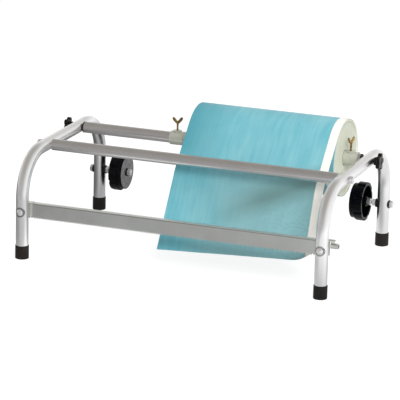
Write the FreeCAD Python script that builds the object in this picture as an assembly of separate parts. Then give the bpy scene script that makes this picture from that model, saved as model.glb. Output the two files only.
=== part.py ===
import FreeCAD, Part
import math
import os

os.makedirs("parts", exist_ok=True)
Vector = FreeCAD.Vector

# All sizes are in millimetres. X runs along the bars, Y from the cutter to the legs behind the roll, Z up.

# Side frames: one bent tube each, with its two legs
frame_spacing = 600.0
leg_spacing = 380.0
top_run_height = 198.0
bend_radius = 80.0
frame_tube_radius = 12.0
frame_tube_wall = 1.5

# Rubber feet pushed over the leg ends
foot_wall = 1.2
foot_height = 26.0
foot_floor = 4.0
foot_edge_round = 1.0

# Bars between the side frames
bar_radius = 11.0
bar_wall = 1.5
front_bar_y = -74.0
roll_bar_y = 78.0
bar_plug_length = 22.0
roll_bar_washer_thickness = 2.6

# Bolts, nuts and washers of one thread size
bolt_radius = 4.0
bolt_hole_clearance = 0.2
head_across_flats = 13.0
head_height = 5.3
nut_height = 6.5
hex_corner_chamfer = 0.6
washer_radius = 8.0
washer_thickness = 1.6
bolt_end_chamfer = 0.7
plug_thread_depth = 18.0
running_clearance = 0.05
body_gap = 0.3

# Star knobs that hold the roll bar
knob_boss_radius = 8.0
knob_boss_length = 6.2
knob_head_thickness = 7.5
knob_core_radius = 12.0
knob_lobe_radius = 5.2
knob_lobe_circle = 11.3
knob_lobe_count = 5
knob_left_turn = 10.0
knob_edge_round = 1.0
knob_cap_radius = 6.0
knob_cap_depth = 0.8
knob_stud_engagement = 3.7

# Cutter bar with its toothed lower edge
cutter_top = 106.5
cutter_sheet = 1.2
cutter_fold_radius = 1.8
cutter_flange_depth = 11.2
cutter_face_depth = 26.4
cutter_overhang = 11.0
tooth_pitch = 5.2
tooth_depth = 3.8
cutter_bolt_height = 93.0
saddle_radius = 9.5
saddle_thickness = 1.0
low_head_radius = 6.5
low_head_rise = 2.6

# End brackets of the cutter
bracket_inboard = 15.3
bracket_outboard = 9.4
bracket_tab_reach = 19.0
bracket_sheet = 1.2
bracket_bottom = 79.0
eye_outer_radius = 5.1
eye_bore_radius = 3.2
eye_length = 14.5
eye_height = 97.0
eye_start = 11.5
eye_web = 1.6

# Tape hubs on the rear legs
hub_height = 84.0
hub_setback = 48.0
hub_step_width = 9.0
hub_pad_width = 17.0
hub_step_radius = 34.4
hub_drum_radius = 35.2
hub_pad_radius = 38.0
hub_pad_count = 8
hub_pad_angle = 35.0
hub_ring_wall = 3.0
hub_web = 3.0
hub_boss_radius = 9.5
hub_disc_radius = 33.0
hub_disc_thickness = 1.5
hub_disc_recess = 0.2
leg_pad_radius = 8.5
leg_pad_thickness = 2.8

# Paper roll on its core
roll_length = 300.0
roll_radius = 75.0
roll_rim_width = 5.0
roll_dish_depth = 2.8
core_inner_radius = 12.7
core_wall = 3.0
edge_tape_width = 16.5
edge_tape_thickness = 0.3
edge_tape_start_angle = 35.0
under_tape_start_angle = 188.0
under_tape_sweep = 90.0

# Core holders that slide on the roll bar
holder_bore_clearance = 0.1
holder_collar_radius = 13.6
holder_collar_length = 28.0
holder_plug_length = 44.0
holder_plug_clearance = 0.3
holder_plug_chamfer = 0.6
holder_shoulder_gap = 0.4
holder_end_gap = 7.4
holder_left_pull_out = 32.8
holder_left_screw_offset = 15.4
holder_right_screw_offset = 11.8
holder_boss_radius = 8.5
holder_boss_rise = 2.0

# Wing bolts in the core holders
wing_bolt_radius = 2.0
wing_ring_radius = 7.4
wing_half_width = 3.1
wing_thickness = 3.0
wing_rise = 23.0
wing_hub_radius = 3.2
wing_hub_height = 5.0
wing_left_turn = 16.0
wing_right_turn = 68.0

# Hanging paper, from the roll down behind the cutter
sheet_thickness = 0.5
sheet_leave_angle = 46.7
sheet_left_angle = 57.5
sheet_right_angle = 68.0
sheet_first_run = 92.0
sheet_bend_radius = 110.0
sheet_left_bottom = 35.0
sheet_right_bottom = 41.0
curled_corner_width = 48.0
curled_corner_height = 30.0

# Places that follow from the sizes above
frame_x = frame_spacing / 2
leg_y = leg_spacing / 2
frame_inner_x = frame_x - frame_tube_radius
frame_outer_x = frame_x + frame_tube_radius
bolt_hole_radius = bolt_radius + bolt_hole_clearance
bar_bore = bar_radius - bar_wall
roll_bar_end = frame_inner_x - roll_bar_washer_thickness
core_right = frame_inner_x - holder_end_gap - holder_collar_length - holder_shoulder_gap
roll_right = core_right + roll_dish_depth
roll_left = roll_right - roll_length
core_left = roll_left + roll_dish_depth
core_outer_radius = core_inner_radius + core_wall
leg_front_y = -leg_y - frame_tube_radius
leg_back_y = -leg_y + frame_tube_radius
cutter_face_y = leg_back_y + bracket_sheet
hub_inner_face = frame_inner_x - hub_setback
hub_outer_face = hub_inner_face + hub_step_width + hub_pad_width
sheet_offset = edge_tape_thickness + body_gap + sheet_thickness / 2

# The origin is under the middle of the whole part's box, so the model moves along Y by this much
front_reach = -leg_front_y + saddle_thickness + low_head_rise
rear_reach = leg_y + hub_pad_radius
middle_shift_y = (front_reach - rear_reach) / 2


def cylinder_x(radius, x_from, x_to, y, z):
    """A solid cylinder along X between two X places."""
    low = min(x_from, x_to)
    return Part.makeCylinder(radius, abs(x_to - x_from), Vector(low, y, z), Vector(1, 0, 0))


def cylinder_y(radius, y_from, y_to, x, z):
    """A solid cylinder along Y between two Y places."""
    low = min(y_from, y_to)
    return Part.makeCylinder(radius, abs(y_to - y_from), Vector(x, low, z), Vector(0, 1, 0))


def tube_x(outer, inner, x_from, x_to, y, z):
    """A hollow round tube along X."""
    return cylinder_x(outer, x_from, x_to, y, z).cut(cylinder_x(inner, x_from, x_to, y, z))


def box_between(low, high):
    """A box from its lowest corner to its highest corner."""
    size = Vector(*high) - Vector(*low)
    return Part.makeBox(size.x, size.y, size.z, Vector(*low))


def chamfered_hexagon(across_flats, height):
    """A hexagonal prism along +Z from the origin, with its corners turned off at the top."""
    corner = across_flats / math.sqrt(3)
    points = []
    for index in range(7):
        angle = math.radians(60 * index)
        points.append(Vector(corner * math.cos(angle), corner * math.sin(angle), 0))
    prism = Part.Face(Part.makePolygon(points)).extrude(Vector(0, 0, height))
    cone_foot = corner + height - hex_corner_chamfer
    turned = Part.makeCone(cone_foot, corner - hex_corner_chamfer, height)
    return prism.common(turned)


def aimed(shape, start, direction):
    """Turn a shape made along +Z from the origin so that it points along a direction from a start."""
    turn = FreeCAD.Rotation(Vector(0, 0, 1), Vector(*direction))
    placed = shape.copy()
    placed.Placement = FreeCAD.Placement(Vector(*start), turn).multiply(shape.Placement)
    return placed


def hex_bolt(start, direction, length):
    """A hex bolt whose head's underside is at start; the shank runs against the direction."""
    head = chamfered_hexagon(head_across_flats, head_height)
    shank = Part.makeCylinder(bolt_radius, length, Vector(0, 0, 0), Vector(0, 0, -1))
    tip = [edge for edge in shank.Edges if edge.BoundBox.ZMax < -length + bolt_end_chamfer]
    shank = shank.makeChamfer(bolt_end_chamfer, [edge for edge in tip if edge.Closed])
    return aimed(head.fuse(shank).removeSplitter(), start, direction)


def hex_nut(start, direction, height=nut_height):
    """A hex nut with its bore, from a face at start towards the direction."""
    nut = chamfered_hexagon(head_across_flats, height)
    nut = nut.cut(Part.makeCylinder(bolt_radius, height))
    return aimed(nut, start, direction)


def washer(start, direction, radius=washer_radius, thickness=washer_thickness):
    """A flat washer with its bore, from a face at start towards the direction."""
    disc = Part.makeCylinder(radius, thickness)
    disc = disc.cut(Part.makeCylinder(bolt_radius, thickness))
    return aimed(disc, start, direction)


def frame_outline(x):
    """The centre line of a side frame: up the front leg, over both bends and down the rear leg."""
    spring = top_run_height - bend_radius
    flat = leg_y - bend_radius
    half_turn = bend_radius * math.sqrt(0.5)
    front_foot = Vector(x, -leg_y, foot_floor)
    front_spring = Vector(x, -leg_y, spring)
    front_middle = Vector(x, -flat - half_turn, spring + half_turn)
    front_top = Vector(x, -flat, top_run_height)
    rear_top = Vector(x, flat, top_run_height)
    rear_middle = Vector(x, flat + half_turn, spring + half_turn)
    rear_spring = Vector(x, leg_y, spring)
    rear_foot = Vector(x, leg_y, foot_floor)
    edges = [
        Part.LineSegment(front_foot, front_spring).toShape(),
        Part.Arc(front_spring, front_middle, front_top).toShape(),
        Part.LineSegment(front_top, rear_top).toShape(),
        Part.Arc(rear_top, rear_middle, rear_spring).toShape(),
        Part.LineSegment(rear_spring, rear_foot).toShape(),
    ]
    return Part.Wire(edges)


def swept_round(path, radius):
    """A round bar of one radius along a path that starts straight up."""
    start = path.OrderedVertexes[0].Point
    circle = Part.Wire(Part.makeCircle(radius, start, Vector(0, 0, 1)))
    return path.makePipeShell([circle], True, True)


def side_frame(side):
    """A bent side frame tube with the holes of everything that is bolted through it."""
    x = side * frame_x
    path = frame_outline(x)
    tube = swept_round(path, frame_tube_radius)
    tube = tube.cut(swept_round(path, frame_tube_radius - frame_tube_wall))
    inner_x = side * (frame_inner_x - 1)
    outer_x = side * (frame_outer_x + 1)
    for y, z in ((front_bar_y, top_run_height), (roll_bar_y, top_run_height), (leg_y, hub_height)):
        tube = tube.cut(cylinder_x(bolt_hole_radius, inner_x, outer_x, y, z))
    drill = cylinder_y(bolt_hole_radius, leg_front_y - 1, leg_back_y + 1, x, cutter_bolt_height)
    return tube.cut(drill)


def rubber_foot(x, y):
    """A rubber cap over one leg end, closed at the floor."""
    outer = frame_tube_radius + foot_wall
    cap = Part.makeCylinder(outer, foot_height, Vector(x, y, 0))
    rims = [edge for edge in cap.Edges if edge.Closed]
    cap = cap.makeFillet(foot_edge_round, rims)
    socket = Part.makeCylinder(frame_tube_radius, foot_height, Vector(x, y, foot_floor))
    return cap.cut(socket)


def cross_bar(y, end):
    """A round tube between the side frames, from one end to the other at the same reach."""
    return tube_x(bar_radius, bar_bore, -end, end, y, top_run_height)


def bar_plug(side, y, end, thread_radius):
    """A steel plug in a bar's end, threaded for the bolt or stud that holds the bar."""
    outer = side * end
    inner = side * (end - bar_plug_length)
    thread_end = side * (end - plug_thread_depth)
    plug = cylinder_x(bar_bore, inner, outer, y, top_run_height)
    return plug.cut(cylinder_x(thread_radius, thread_end, outer, y, top_run_height))


def roll_bar_washer(side):
    """The dark washer between an end of the roll bar and its side frame."""
    inner = side * roll_bar_end
    outer = side * frame_inner_x
    return tube_x(bar_radius, bolt_radius + running_clearance, inner, outer, roll_bar_y, top_run_height)


def front_bar_bolt(side):
    """The hex bolt through a side frame into the front bar's plug."""
    start = side * (frame_outer_x + washer_thickness)
    length = 2 * frame_tube_radius + washer_thickness + plug_thread_depth
    return hex_bolt((start, front_bar_y, top_run_height), (side, 0, 0), length)


def knob_head(side):
    """A lobed knob with its boss, made along +Z and aimed outwards from the side frame."""
    boss = Part.makeCylinder(knob_boss_radius, knob_boss_length)
    head = Part.makeCylinder(knob_core_radius, knob_head_thickness)
    lobe_start = 90 if side > 0 else 90 + knob_left_turn
    for index in range(knob_lobe_count):
        angle = math.radians(lobe_start + 360 * index / knob_lobe_count)
        centre = Vector(knob_lobe_circle * math.cos(angle), knob_lobe_circle * math.sin(angle), 0)
        head = head.fuse(Part.makeCylinder(knob_lobe_radius, knob_head_thickness, centre))
    head = head.removeSplitter()
    rims = [edge for edge in head.Edges if edge.BoundBox.ZLength < 0.01]
    head = head.makeFillet(knob_edge_round, rims)
    dimple_start = Vector(0, 0, knob_head_thickness - knob_cap_depth)
    dimple = Part.makeCylinder(knob_cap_radius, knob_cap_depth, dimple_start)
    head = head.cut(dimple)
    head.translate(Vector(0, 0, knob_boss_length))
    bore_depth = knob_boss_length + knob_stud_engagement
    knob = boss.fuse(head).removeSplitter()
    knob = knob.cut(Part.makeCylinder(bolt_radius, bore_depth))
    start = side * (frame_outer_x + body_gap)
    return aimed(knob, (start, roll_bar_y, top_run_height), (side, 0, 0))


def knob_stud(side):
    """The threaded stud moulded into a knob, through the frame and into the roll bar's plug."""
    outer = side * (frame_outer_x + body_gap + knob_boss_length + knob_stud_engagement)
    inner = side * (roll_bar_end - plug_thread_depth + body_gap)
    return cylinder_x(bolt_radius, inner, outer, roll_bar_y, top_run_height)


def long_edge_at(shape, y, z):
    """The longest edge of a shape that runs along X at a Y and a Z."""
    near = [edge for edge in shape.Edges if (edge.CenterOfMass - Vector(0, y, z)).Length < cutter_sheet / 2]
    return max(near, key=lambda edge: edge.Length)


def cutter_bar():
    """An L of sheet steel: a flange on top and a face whose lower edge has saw teeth."""
    end = frame_x + cutter_overhang
    root = cutter_top - cutter_face_depth
    tip = root - tooth_depth
    teeth = int(2 * end / tooth_pitch)
    margin = (2 * end - teeth * tooth_pitch) / 2
    outline = [Vector(-end, cutter_face_y, cutter_top), Vector(-end, cutter_face_y, root)]
    for index in range(teeth):
        start = -end + margin + index * tooth_pitch
        outline.append(Vector(start, cutter_face_y, root))
        outline.append(Vector(start + tooth_pitch / 2, cutter_face_y, tip))
    outline.append(Vector(end - margin, cutter_face_y, root))
    outline.append(Vector(end, cutter_face_y, root))
    outline.append(Vector(end, cutter_face_y, cutter_top))
    outline.append(outline[0])
    points = [point for index, point in enumerate(outline) if index == 0 or point != outline[index - 1]]
    face = Part.Face(Part.makePolygon(points)).extrude(Vector(0, cutter_sheet, 0))
    flange_low = (-end, cutter_face_y, cutter_top - cutter_sheet)
    flange = box_between(flange_low, (end, cutter_face_y + cutter_flange_depth, cutter_top))
    bar = face.fuse(flange).removeSplitter()
    outer_fold = long_edge_at(bar, cutter_face_y, cutter_top)
    bar = bar.makeFillet(cutter_fold_radius, [outer_fold])
    inner_fold = long_edge_at(bar, cutter_face_y + cutter_sheet, cutter_top - cutter_sheet)
    bar = bar.makeFillet(cutter_fold_radius - cutter_sheet, [inner_fold])
    for side in (-1, 1):
        x = side * frame_x
        front = cutter_face_y - 1
        back = cutter_face_y + cutter_sheet + 1
        hole = cylinder_y(bolt_hole_radius, front, back, x, cutter_bolt_height)
        bar = bar.cut(hole)
    return bar


def cutter_bracket(side):
    """A plate of sheet steel behind a front leg with a flange over the cutter's flange."""
    x = side * frame_x
    top = cutter_top + bracket_sheet
    back = cutter_face_y + cutter_flange_depth
    inboard = x - side * bracket_inboard
    outboard = x + side * bracket_outboard
    low_x, high_x = min(inboard, outboard), max(inboard, outboard)
    plate = box_between((low_x, leg_back_y, bracket_bottom), (high_x, cutter_face_y, top))
    flange = box_between((low_x, leg_back_y, cutter_top), (high_x, back, top))
    bracket = plate.fuse(flange)
    hole = cylinder_y(bolt_hole_radius, leg_back_y - 1, cutter_face_y + 1, x, cutter_bolt_height)
    return bracket.cut(hole).removeSplitter()


def eye_tab():
    """The tab of the right bracket: it runs on outboard and carries a rolled eye below it."""
    top = cutter_top + bracket_sheet
    back = cutter_face_y + cutter_flange_depth
    start = frame_x + bracket_outboard
    end = frame_x + bracket_tab_reach
    tab = box_between((start, leg_back_y, cutter_top), (end, back, top))
    eye_y = cutter_face_y + eye_outer_radius + cutter_sheet
    eye_from = frame_x + eye_start
    eye_to = eye_from + eye_length
    eye = cylinder_x(eye_outer_radius, eye_from, eye_to, eye_y, eye_height)
    web_low = (eye_from, eye_y - eye_web / 2, eye_height)
    web = box_between(web_low, (end, eye_y + eye_web / 2, top))
    bracket = cutter_bracket(1).fuse([tab, eye, web])
    bracket = bracket.cut(cylinder_x(eye_bore_radius, eye_from, eye_to, eye_y, eye_height))
    return bracket.removeSplitter()


def saddle_washer(side):
    """A round washer that is curved to lie on the front of a leg."""
    x = side * frame_x
    back_y = -leg_y
    outer = frame_tube_radius + saddle_thickness
    low = cutter_bolt_height - saddle_radius - 1
    height = 2 * saddle_radius + 2
    shell = Part.makeCylinder(outer, height, Vector(x, back_y, low))
    shell = shell.cut(Part.makeCylinder(frame_tube_radius, height, Vector(x, back_y, low)))
    disc = cylinder_y(saddle_radius, -leg_y - outer - 1, back_y, x, cutter_bolt_height)
    washer_shape = shell.common(disc)
    hole = cylinder_y(bolt_hole_radius, -leg_y - outer - 1, back_y, x, cutter_bolt_height)
    return washer_shape.cut(hole)


def cutter_bolt(side):
    """The low-headed bolt from the front through saddle washer, leg, bracket and cutter face."""
    underside = leg_front_y - saddle_thickness
    sphere_radius = (low_head_radius ** 2 + low_head_rise ** 2) / (2 * low_head_rise)
    sphere = Part.makeSphere(sphere_radius, Vector(0, 0, low_head_rise - sphere_radius))
    head = sphere.common(Part.makeCylinder(low_head_radius, low_head_rise))
    stack = 2 * frame_tube_radius + saddle_thickness + bracket_sheet + cutter_sheet
    length = stack + nut_height + bolt_end_chamfer
    shank = Part.makeCylinder(bolt_radius, length, Vector(0, 0, 0), Vector(0, 0, -1))
    bolt = head.fuse(shank).removeSplitter()
    return aimed(bolt, (side * frame_x, underside, cutter_bolt_height), (0, -1, 0))


def cutter_nut(side):
    """The hex nut behind the cutter's face."""
    return hex_nut((side * frame_x, cutter_face_y + cutter_sheet, cutter_bolt_height), (0, 1, 0))


def hub_drum(side):
    """A tape hub: stepped drum with grip pads, a web, an open cup outwards and a bored boss."""
    width = hub_step_width + hub_pad_width
    drum = Part.makeCylinder(hub_step_radius, hub_step_width)
    drum = drum.fuse(Part.makeCylinder(hub_drum_radius, hub_pad_width, Vector(0, 0, hub_step_width)))
    for index in range(hub_pad_count):
        start = 90 + 360 * index / hub_pad_count - hub_pad_angle / 2
        base = Vector(0, 0, hub_step_width)
        pad = Part.makeCylinder(hub_pad_radius, hub_pad_width, base, Vector(0, 0, 1), hub_pad_angle)
        pad.rotate(Vector(0, 0, 0), Vector(0, 0, 1), start)
        drum = drum.fuse(pad)
    cup_radius = hub_step_radius - hub_ring_wall
    seat = hub_disc_thickness + hub_disc_recess
    cup = Part.makeCylinder(cup_radius, width, Vector(0, 0, seat + hub_web))
    drum = drum.cut(cup)
    drum = drum.cut(Part.makeCylinder(hub_disc_radius, seat))
    drum = drum.fuse(Part.makeCylinder(hub_boss_radius, width - seat, Vector(0, 0, seat)))
    drum = drum.cut(Part.makeCylinder(bolt_radius + running_clearance, width))
    start = (side * hub_inner_face, leg_y, hub_height)
    return aimed(drum.removeSplitter(), start, (side, 0, 0))


def hub_disc(side):
    """The metal disc in the inward face of a tape hub."""
    disc = Part.makeCylinder(hub_disc_radius, hub_disc_thickness, Vector(0, 0, hub_disc_recess))
    disc = disc.cut(Part.makeCylinder(bolt_radius + running_clearance, hub_disc_thickness + hub_disc_recess))
    return aimed(disc, (side * hub_inner_face, leg_y, hub_height), (side, 0, 0))


def hub_axle_bolt(side):
    """The long bolt through a rear leg that a tape hub turns on."""
    start = frame_outer_x + washer_thickness
    end = hub_inner_face - body_gap - washer_thickness - nut_height - bolt_end_chamfer
    return hex_bolt((side * start, leg_y, hub_height), (side, 0, 0), start - end)


def hub_nuts(side):
    """Three nuts on an axle bolt: against the leg's pad, outside the hub and inside it."""
    leg_nut = hex_nut((side * (frame_inner_x - leg_pad_thickness), leg_y, hub_height), (-side, 0, 0))
    nut_reach = hub_outer_face + body_gap + washer_thickness
    outer_nut = hex_nut((side * nut_reach, leg_y, hub_height), (side, 0, 0))
    inner_start = hub_inner_face - body_gap - washer_thickness
    inner_nut = hex_nut((side * inner_start, leg_y, hub_height), (-side, 0, 0))
    return [leg_nut, outer_nut, inner_nut]


def hub_washers(side):
    """The washers under an axle bolt's head, outside the hub and inside it."""
    head_washer = washer((side * frame_outer_x, leg_y, hub_height), (side, 0, 0))
    hub_washer = washer((side * (hub_outer_face + body_gap), leg_y, hub_height), (side, 0, 0))
    inner_washer = washer((side * (hub_inner_face - body_gap), leg_y, hub_height), (-side, 0, 0))
    return [head_washer, hub_washer, inner_washer]


def leg_pad(side):
    """The black pad between a rear leg and the first nut on the axle bolt."""
    start = (side * frame_inner_x, leg_y, hub_height)
    return washer(start, (-side, 0, 0), leg_pad_radius, leg_pad_thickness)


def core_tube():
    """The cardboard tube that the paper is wound on."""
    return tube_x(core_outer_radius, core_inner_radius, core_left, core_right, roll_bar_y, top_run_height)


def edge_tape_arc(inner, outer, start_angle, sweep):
    """An arc round the roll's right edge, from a start angle above level behind the roll."""
    left = roll_right - edge_tape_width
    axis = Vector(0, roll_bar_y, top_run_height)
    low = Vector(left, roll_bar_y + inner, top_run_height)
    high = Vector(roll_right, roll_bar_y + outer, top_run_height)
    corners = [low, Vector(high.x, low.y, low.z), high, Vector(low.x, high.y, high.z), low]
    profile = Part.Face(Part.makePolygon(corners))
    profile.rotate(axis, Vector(1, 0, 0), start_angle)
    return profile.revolve(axis, Vector(1, 0, 0), sweep)


def edge_tape_arcs(inner, outer):
    """The tape's two arcs: from behind the top to where the sheet leaves, and under the roll."""
    upper_sweep = 90 + sheet_leave_angle - edge_tape_start_angle
    upper = edge_tape_arc(inner, outer, edge_tape_start_angle, upper_sweep)
    return [upper, edge_tape_arc(inner, outer, under_tape_start_angle, under_tape_sweep)]


def end_dish(end, inwards):
    """The shallow cone that the wound layers leave free between the roll's rim and its core."""
    rim = roll_radius - roll_rim_width
    slope = (rim - core_outer_radius) / roll_dish_depth
    start = Vector(end - inwards, roll_bar_y, top_run_height)
    depth = roll_dish_depth + 1
    return Part.makeCone(rim + slope, core_outer_radius, depth, start, Vector(inwards, 0, 0))


def wound_paper():
    """The wound paper, its ends a little dished, with a seat at its right edge for the tape band."""
    paper = tube_x(roll_radius, core_outer_radius, roll_left, roll_right, roll_bar_y, top_run_height)
    paper = paper.cut([end_dish(roll_left, 1), end_dish(roll_right, -1)])
    return paper.cut(edge_tape_arcs(roll_radius - edge_tape_thickness, roll_radius + 1))


def roll_tape_band():
    """The masking tape on the roll's right edge."""
    return Part.makeCompound(edge_tape_arcs(roll_radius - edge_tape_thickness, roll_radius))


def shoulder_x(side):
    """Where a core holder's collar meets its plug."""
    if side > 0:
        return core_right + holder_shoulder_gap
    return core_left - holder_left_pull_out


def screw_x(side):
    """Where a core holder's wing bolt stands."""
    offset = holder_right_screw_offset if side > 0 else holder_left_screw_offset
    return shoulder_x(side) + side * offset


def core_holder(side):
    """A sleeve on the roll bar: a collar with a threaded boss, and a thinner plug that fits the core."""
    shoulder = shoulder_x(side)
    collar_end = shoulder + side * holder_collar_length
    plug_end = shoulder - side * holder_plug_length
    plug_radius = core_inner_radius - holder_plug_clearance
    collar = cylinder_x(holder_collar_radius, shoulder, collar_end, roll_bar_y, top_run_height)
    plug = cylinder_x(plug_radius, shoulder, plug_end, roll_bar_y, top_run_height)
    rim = [edge for edge in plug.Edges if edge.Closed and abs(edge.CenterOfMass.x - plug_end) < 1]
    plug = plug.makeChamfer(holder_plug_chamfer, rim)
    boss_height = holder_collar_radius + holder_boss_rise
    boss_base = Vector(screw_x(side), roll_bar_y, top_run_height)
    boss = Part.makeCylinder(holder_boss_radius, boss_height, boss_base)
    holder = plug.fuse([collar, boss]).removeSplitter()
    bore = bar_radius + holder_bore_clearance
    holder = holder.cut(cylinder_x(bore, plug_end, collar_end, roll_bar_y, top_run_height))
    thread = Part.makeCylinder(wing_bolt_radius + running_clearance, boss_height + 1, boss_base)
    return holder.cut(thread)


def wing_crescent():
    """Both wings of a wing bolt: the lower half of a flat ring with rounded ends, made about the origin."""
    outer = wing_ring_radius + wing_half_width
    inner = wing_ring_radius - wing_half_width
    front = Vector(0, -wing_thickness / 2, 0)
    ring = Part.makeCylinder(outer, wing_thickness, front, Vector(0, 1, 0))
    ring = ring.cut(Part.makeCylinder(inner, wing_thickness, front, Vector(0, 1, 0)))
    low = (-outer, -wing_thickness, -outer)
    ring = ring.common(box_between(low, (outer, wing_thickness, 0)))
    for way in (-1, 1):
        end = Vector(way * wing_ring_radius, -wing_thickness / 2, 0)
        ring = ring.fuse(Part.makeCylinder(wing_half_width, wing_thickness, end, Vector(0, 1, 0)))
    return ring.removeSplitter()


def wing_bolt(side):
    """A wing bolt through a holder's boss, its tip just clear of the roll bar."""
    tip = bar_radius + body_gap
    wings_z = holder_collar_radius + holder_boss_rise + wing_rise
    hub_top = wings_z - wing_ring_radius
    shank = Part.makeCylinder(wing_bolt_radius, hub_top - tip, Vector(0, 0, tip))
    hub_base = Vector(0, 0, hub_top - wing_hub_height)
    hub = Part.makeCone(wing_bolt_radius, wing_hub_radius, wing_hub_height, hub_base)
    wings = wing_crescent()
    wings.translate(Vector(0, 0, wings_z))
    bolt = shank.fuse([hub, wings]).removeSplitter()
    turn = wing_right_turn if side > 0 else wing_left_turn
    bolt.rotate(Vector(0, 0, 0), Vector(0, 0, 1), turn)
    bolt.translate(Vector(screw_x(side), roll_bar_y, top_run_height))
    return bolt


def sheet_section(x, hang_angle, bottom, offset_low, offset_high):
    """A closed outline of the hanging sheet at one X, between two offsets in front of its middle line.

    The middle line leaves the roll straight, bends once towards the floor and ends at the bottom height.
    """
    leave = math.radians(sheet_leave_angle)
    hang = math.radians(hang_angle)
    touch = roll_radius + sheet_offset
    start = Vector(x, roll_bar_y - touch * math.sin(leave), top_run_height + touch * math.cos(leave))
    first_end = start + sheet_heading(leave) * sheet_first_run
    centre = first_end - sheet_front(leave) * sheet_bend_radius
    bend_end = centre + sheet_front(hang) * sheet_bend_radius
    last_run = (bend_end.z - bottom) / math.sin(hang)
    last_end = bend_end + sheet_heading(hang) * last_run
    middle = (leave + hang) / 2
    front = [start + sheet_front(leave) * offset_high, first_end + sheet_front(leave) * offset_high]
    front.append(centre + sheet_front(middle) * (sheet_bend_radius + offset_high))
    front.append(bend_end + sheet_front(hang) * offset_high)
    front.append(last_end + sheet_front(hang) * offset_high)
    back = [start + sheet_front(leave) * offset_low, first_end + sheet_front(leave) * offset_low]
    back.append(centre + sheet_front(middle) * (sheet_bend_radius + offset_low))
    back.append(bend_end + sheet_front(hang) * offset_low)
    back.append(last_end + sheet_front(hang) * offset_low)
    edges = [
        Part.LineSegment(front[0], front[1]).toShape(),
        Part.Arc(front[1], front[2], front[3]).toShape(),
        Part.LineSegment(front[3], front[4]).toShape(),
        Part.LineSegment(front[4], back[4]).toShape(),
        Part.LineSegment(back[4], back[3]).toShape(),
        Part.Arc(back[3], back[2], back[1]).toShape(),
        Part.LineSegment(back[1], back[0]).toShape(),
        Part.LineSegment(back[0], front[0]).toShape(),
    ]
    return Part.Wire(edges)


def sheet_heading(angle):
    """The way the sheet runs at an angle below level, towards the cutter."""
    return Vector(0, -math.cos(angle), -math.sin(angle))


def sheet_front(angle):
    """The way the sheet's outer side faces at an angle below level."""
    return Vector(0, -math.sin(angle), math.cos(angle))


def hang_angle_at(x):
    """The sheet hangs steeper towards its right edge."""
    share = (x - roll_left) / roll_length
    return sheet_left_angle + share * (sheet_right_angle - sheet_left_angle)


def bottom_at(x):
    """The sheet's lower edge rises a little towards its right edge."""
    share = (x - roll_left) / roll_length
    return sheet_left_bottom + share * (sheet_right_bottom - sheet_left_bottom)


def curled_corner():
    """The wedge that the sheet's lower right corner leaves free, because it is curled away."""
    low_start = Vector(roll_right - curled_corner_width, -leg_y, 0)
    low_end = Vector(roll_right + 1, -leg_y, 0)
    bottom_start = Vector(roll_right - curled_corner_width, -leg_y, bottom_at(roll_right - curled_corner_width))
    edge_top = Vector(roll_right + 1, -leg_y, bottom_at(roll_right) + curled_corner_height)
    outline = Part.makePolygon([low_start, low_end, edge_top, bottom_start, low_start])
    return Part.Face(outline).extrude(Vector(0, leg_y, 0))


def sheet_layer(offset_low, offset_high):
    """A layer over the whole width of the hanging sheet, without its curled corner."""
    sections = []
    for x in (roll_left, roll_right):
        sections.append(sheet_section(x, hang_angle_at(x), bottom_at(x), offset_low, offset_high))
    return Part.makeLoft(sections, True, True).cut(curled_corner())


def paper_sheet():
    """The paper that hangs from the roll."""
    return sheet_layer(-sheet_thickness / 2, sheet_thickness / 2)


def sheet_tape_strip():
    """The masking tape on the hanging paper's right edge."""
    layer = sheet_layer(sheet_thickness / 2, sheet_thickness / 2 + edge_tape_thickness)
    edge_low = (roll_right - edge_tape_width, -leg_y, 0)
    edge_high = (roll_right + 1, leg_y, top_run_height + 2 * roll_radius)
    return layer.common(box_between(edge_low, edge_high))


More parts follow.
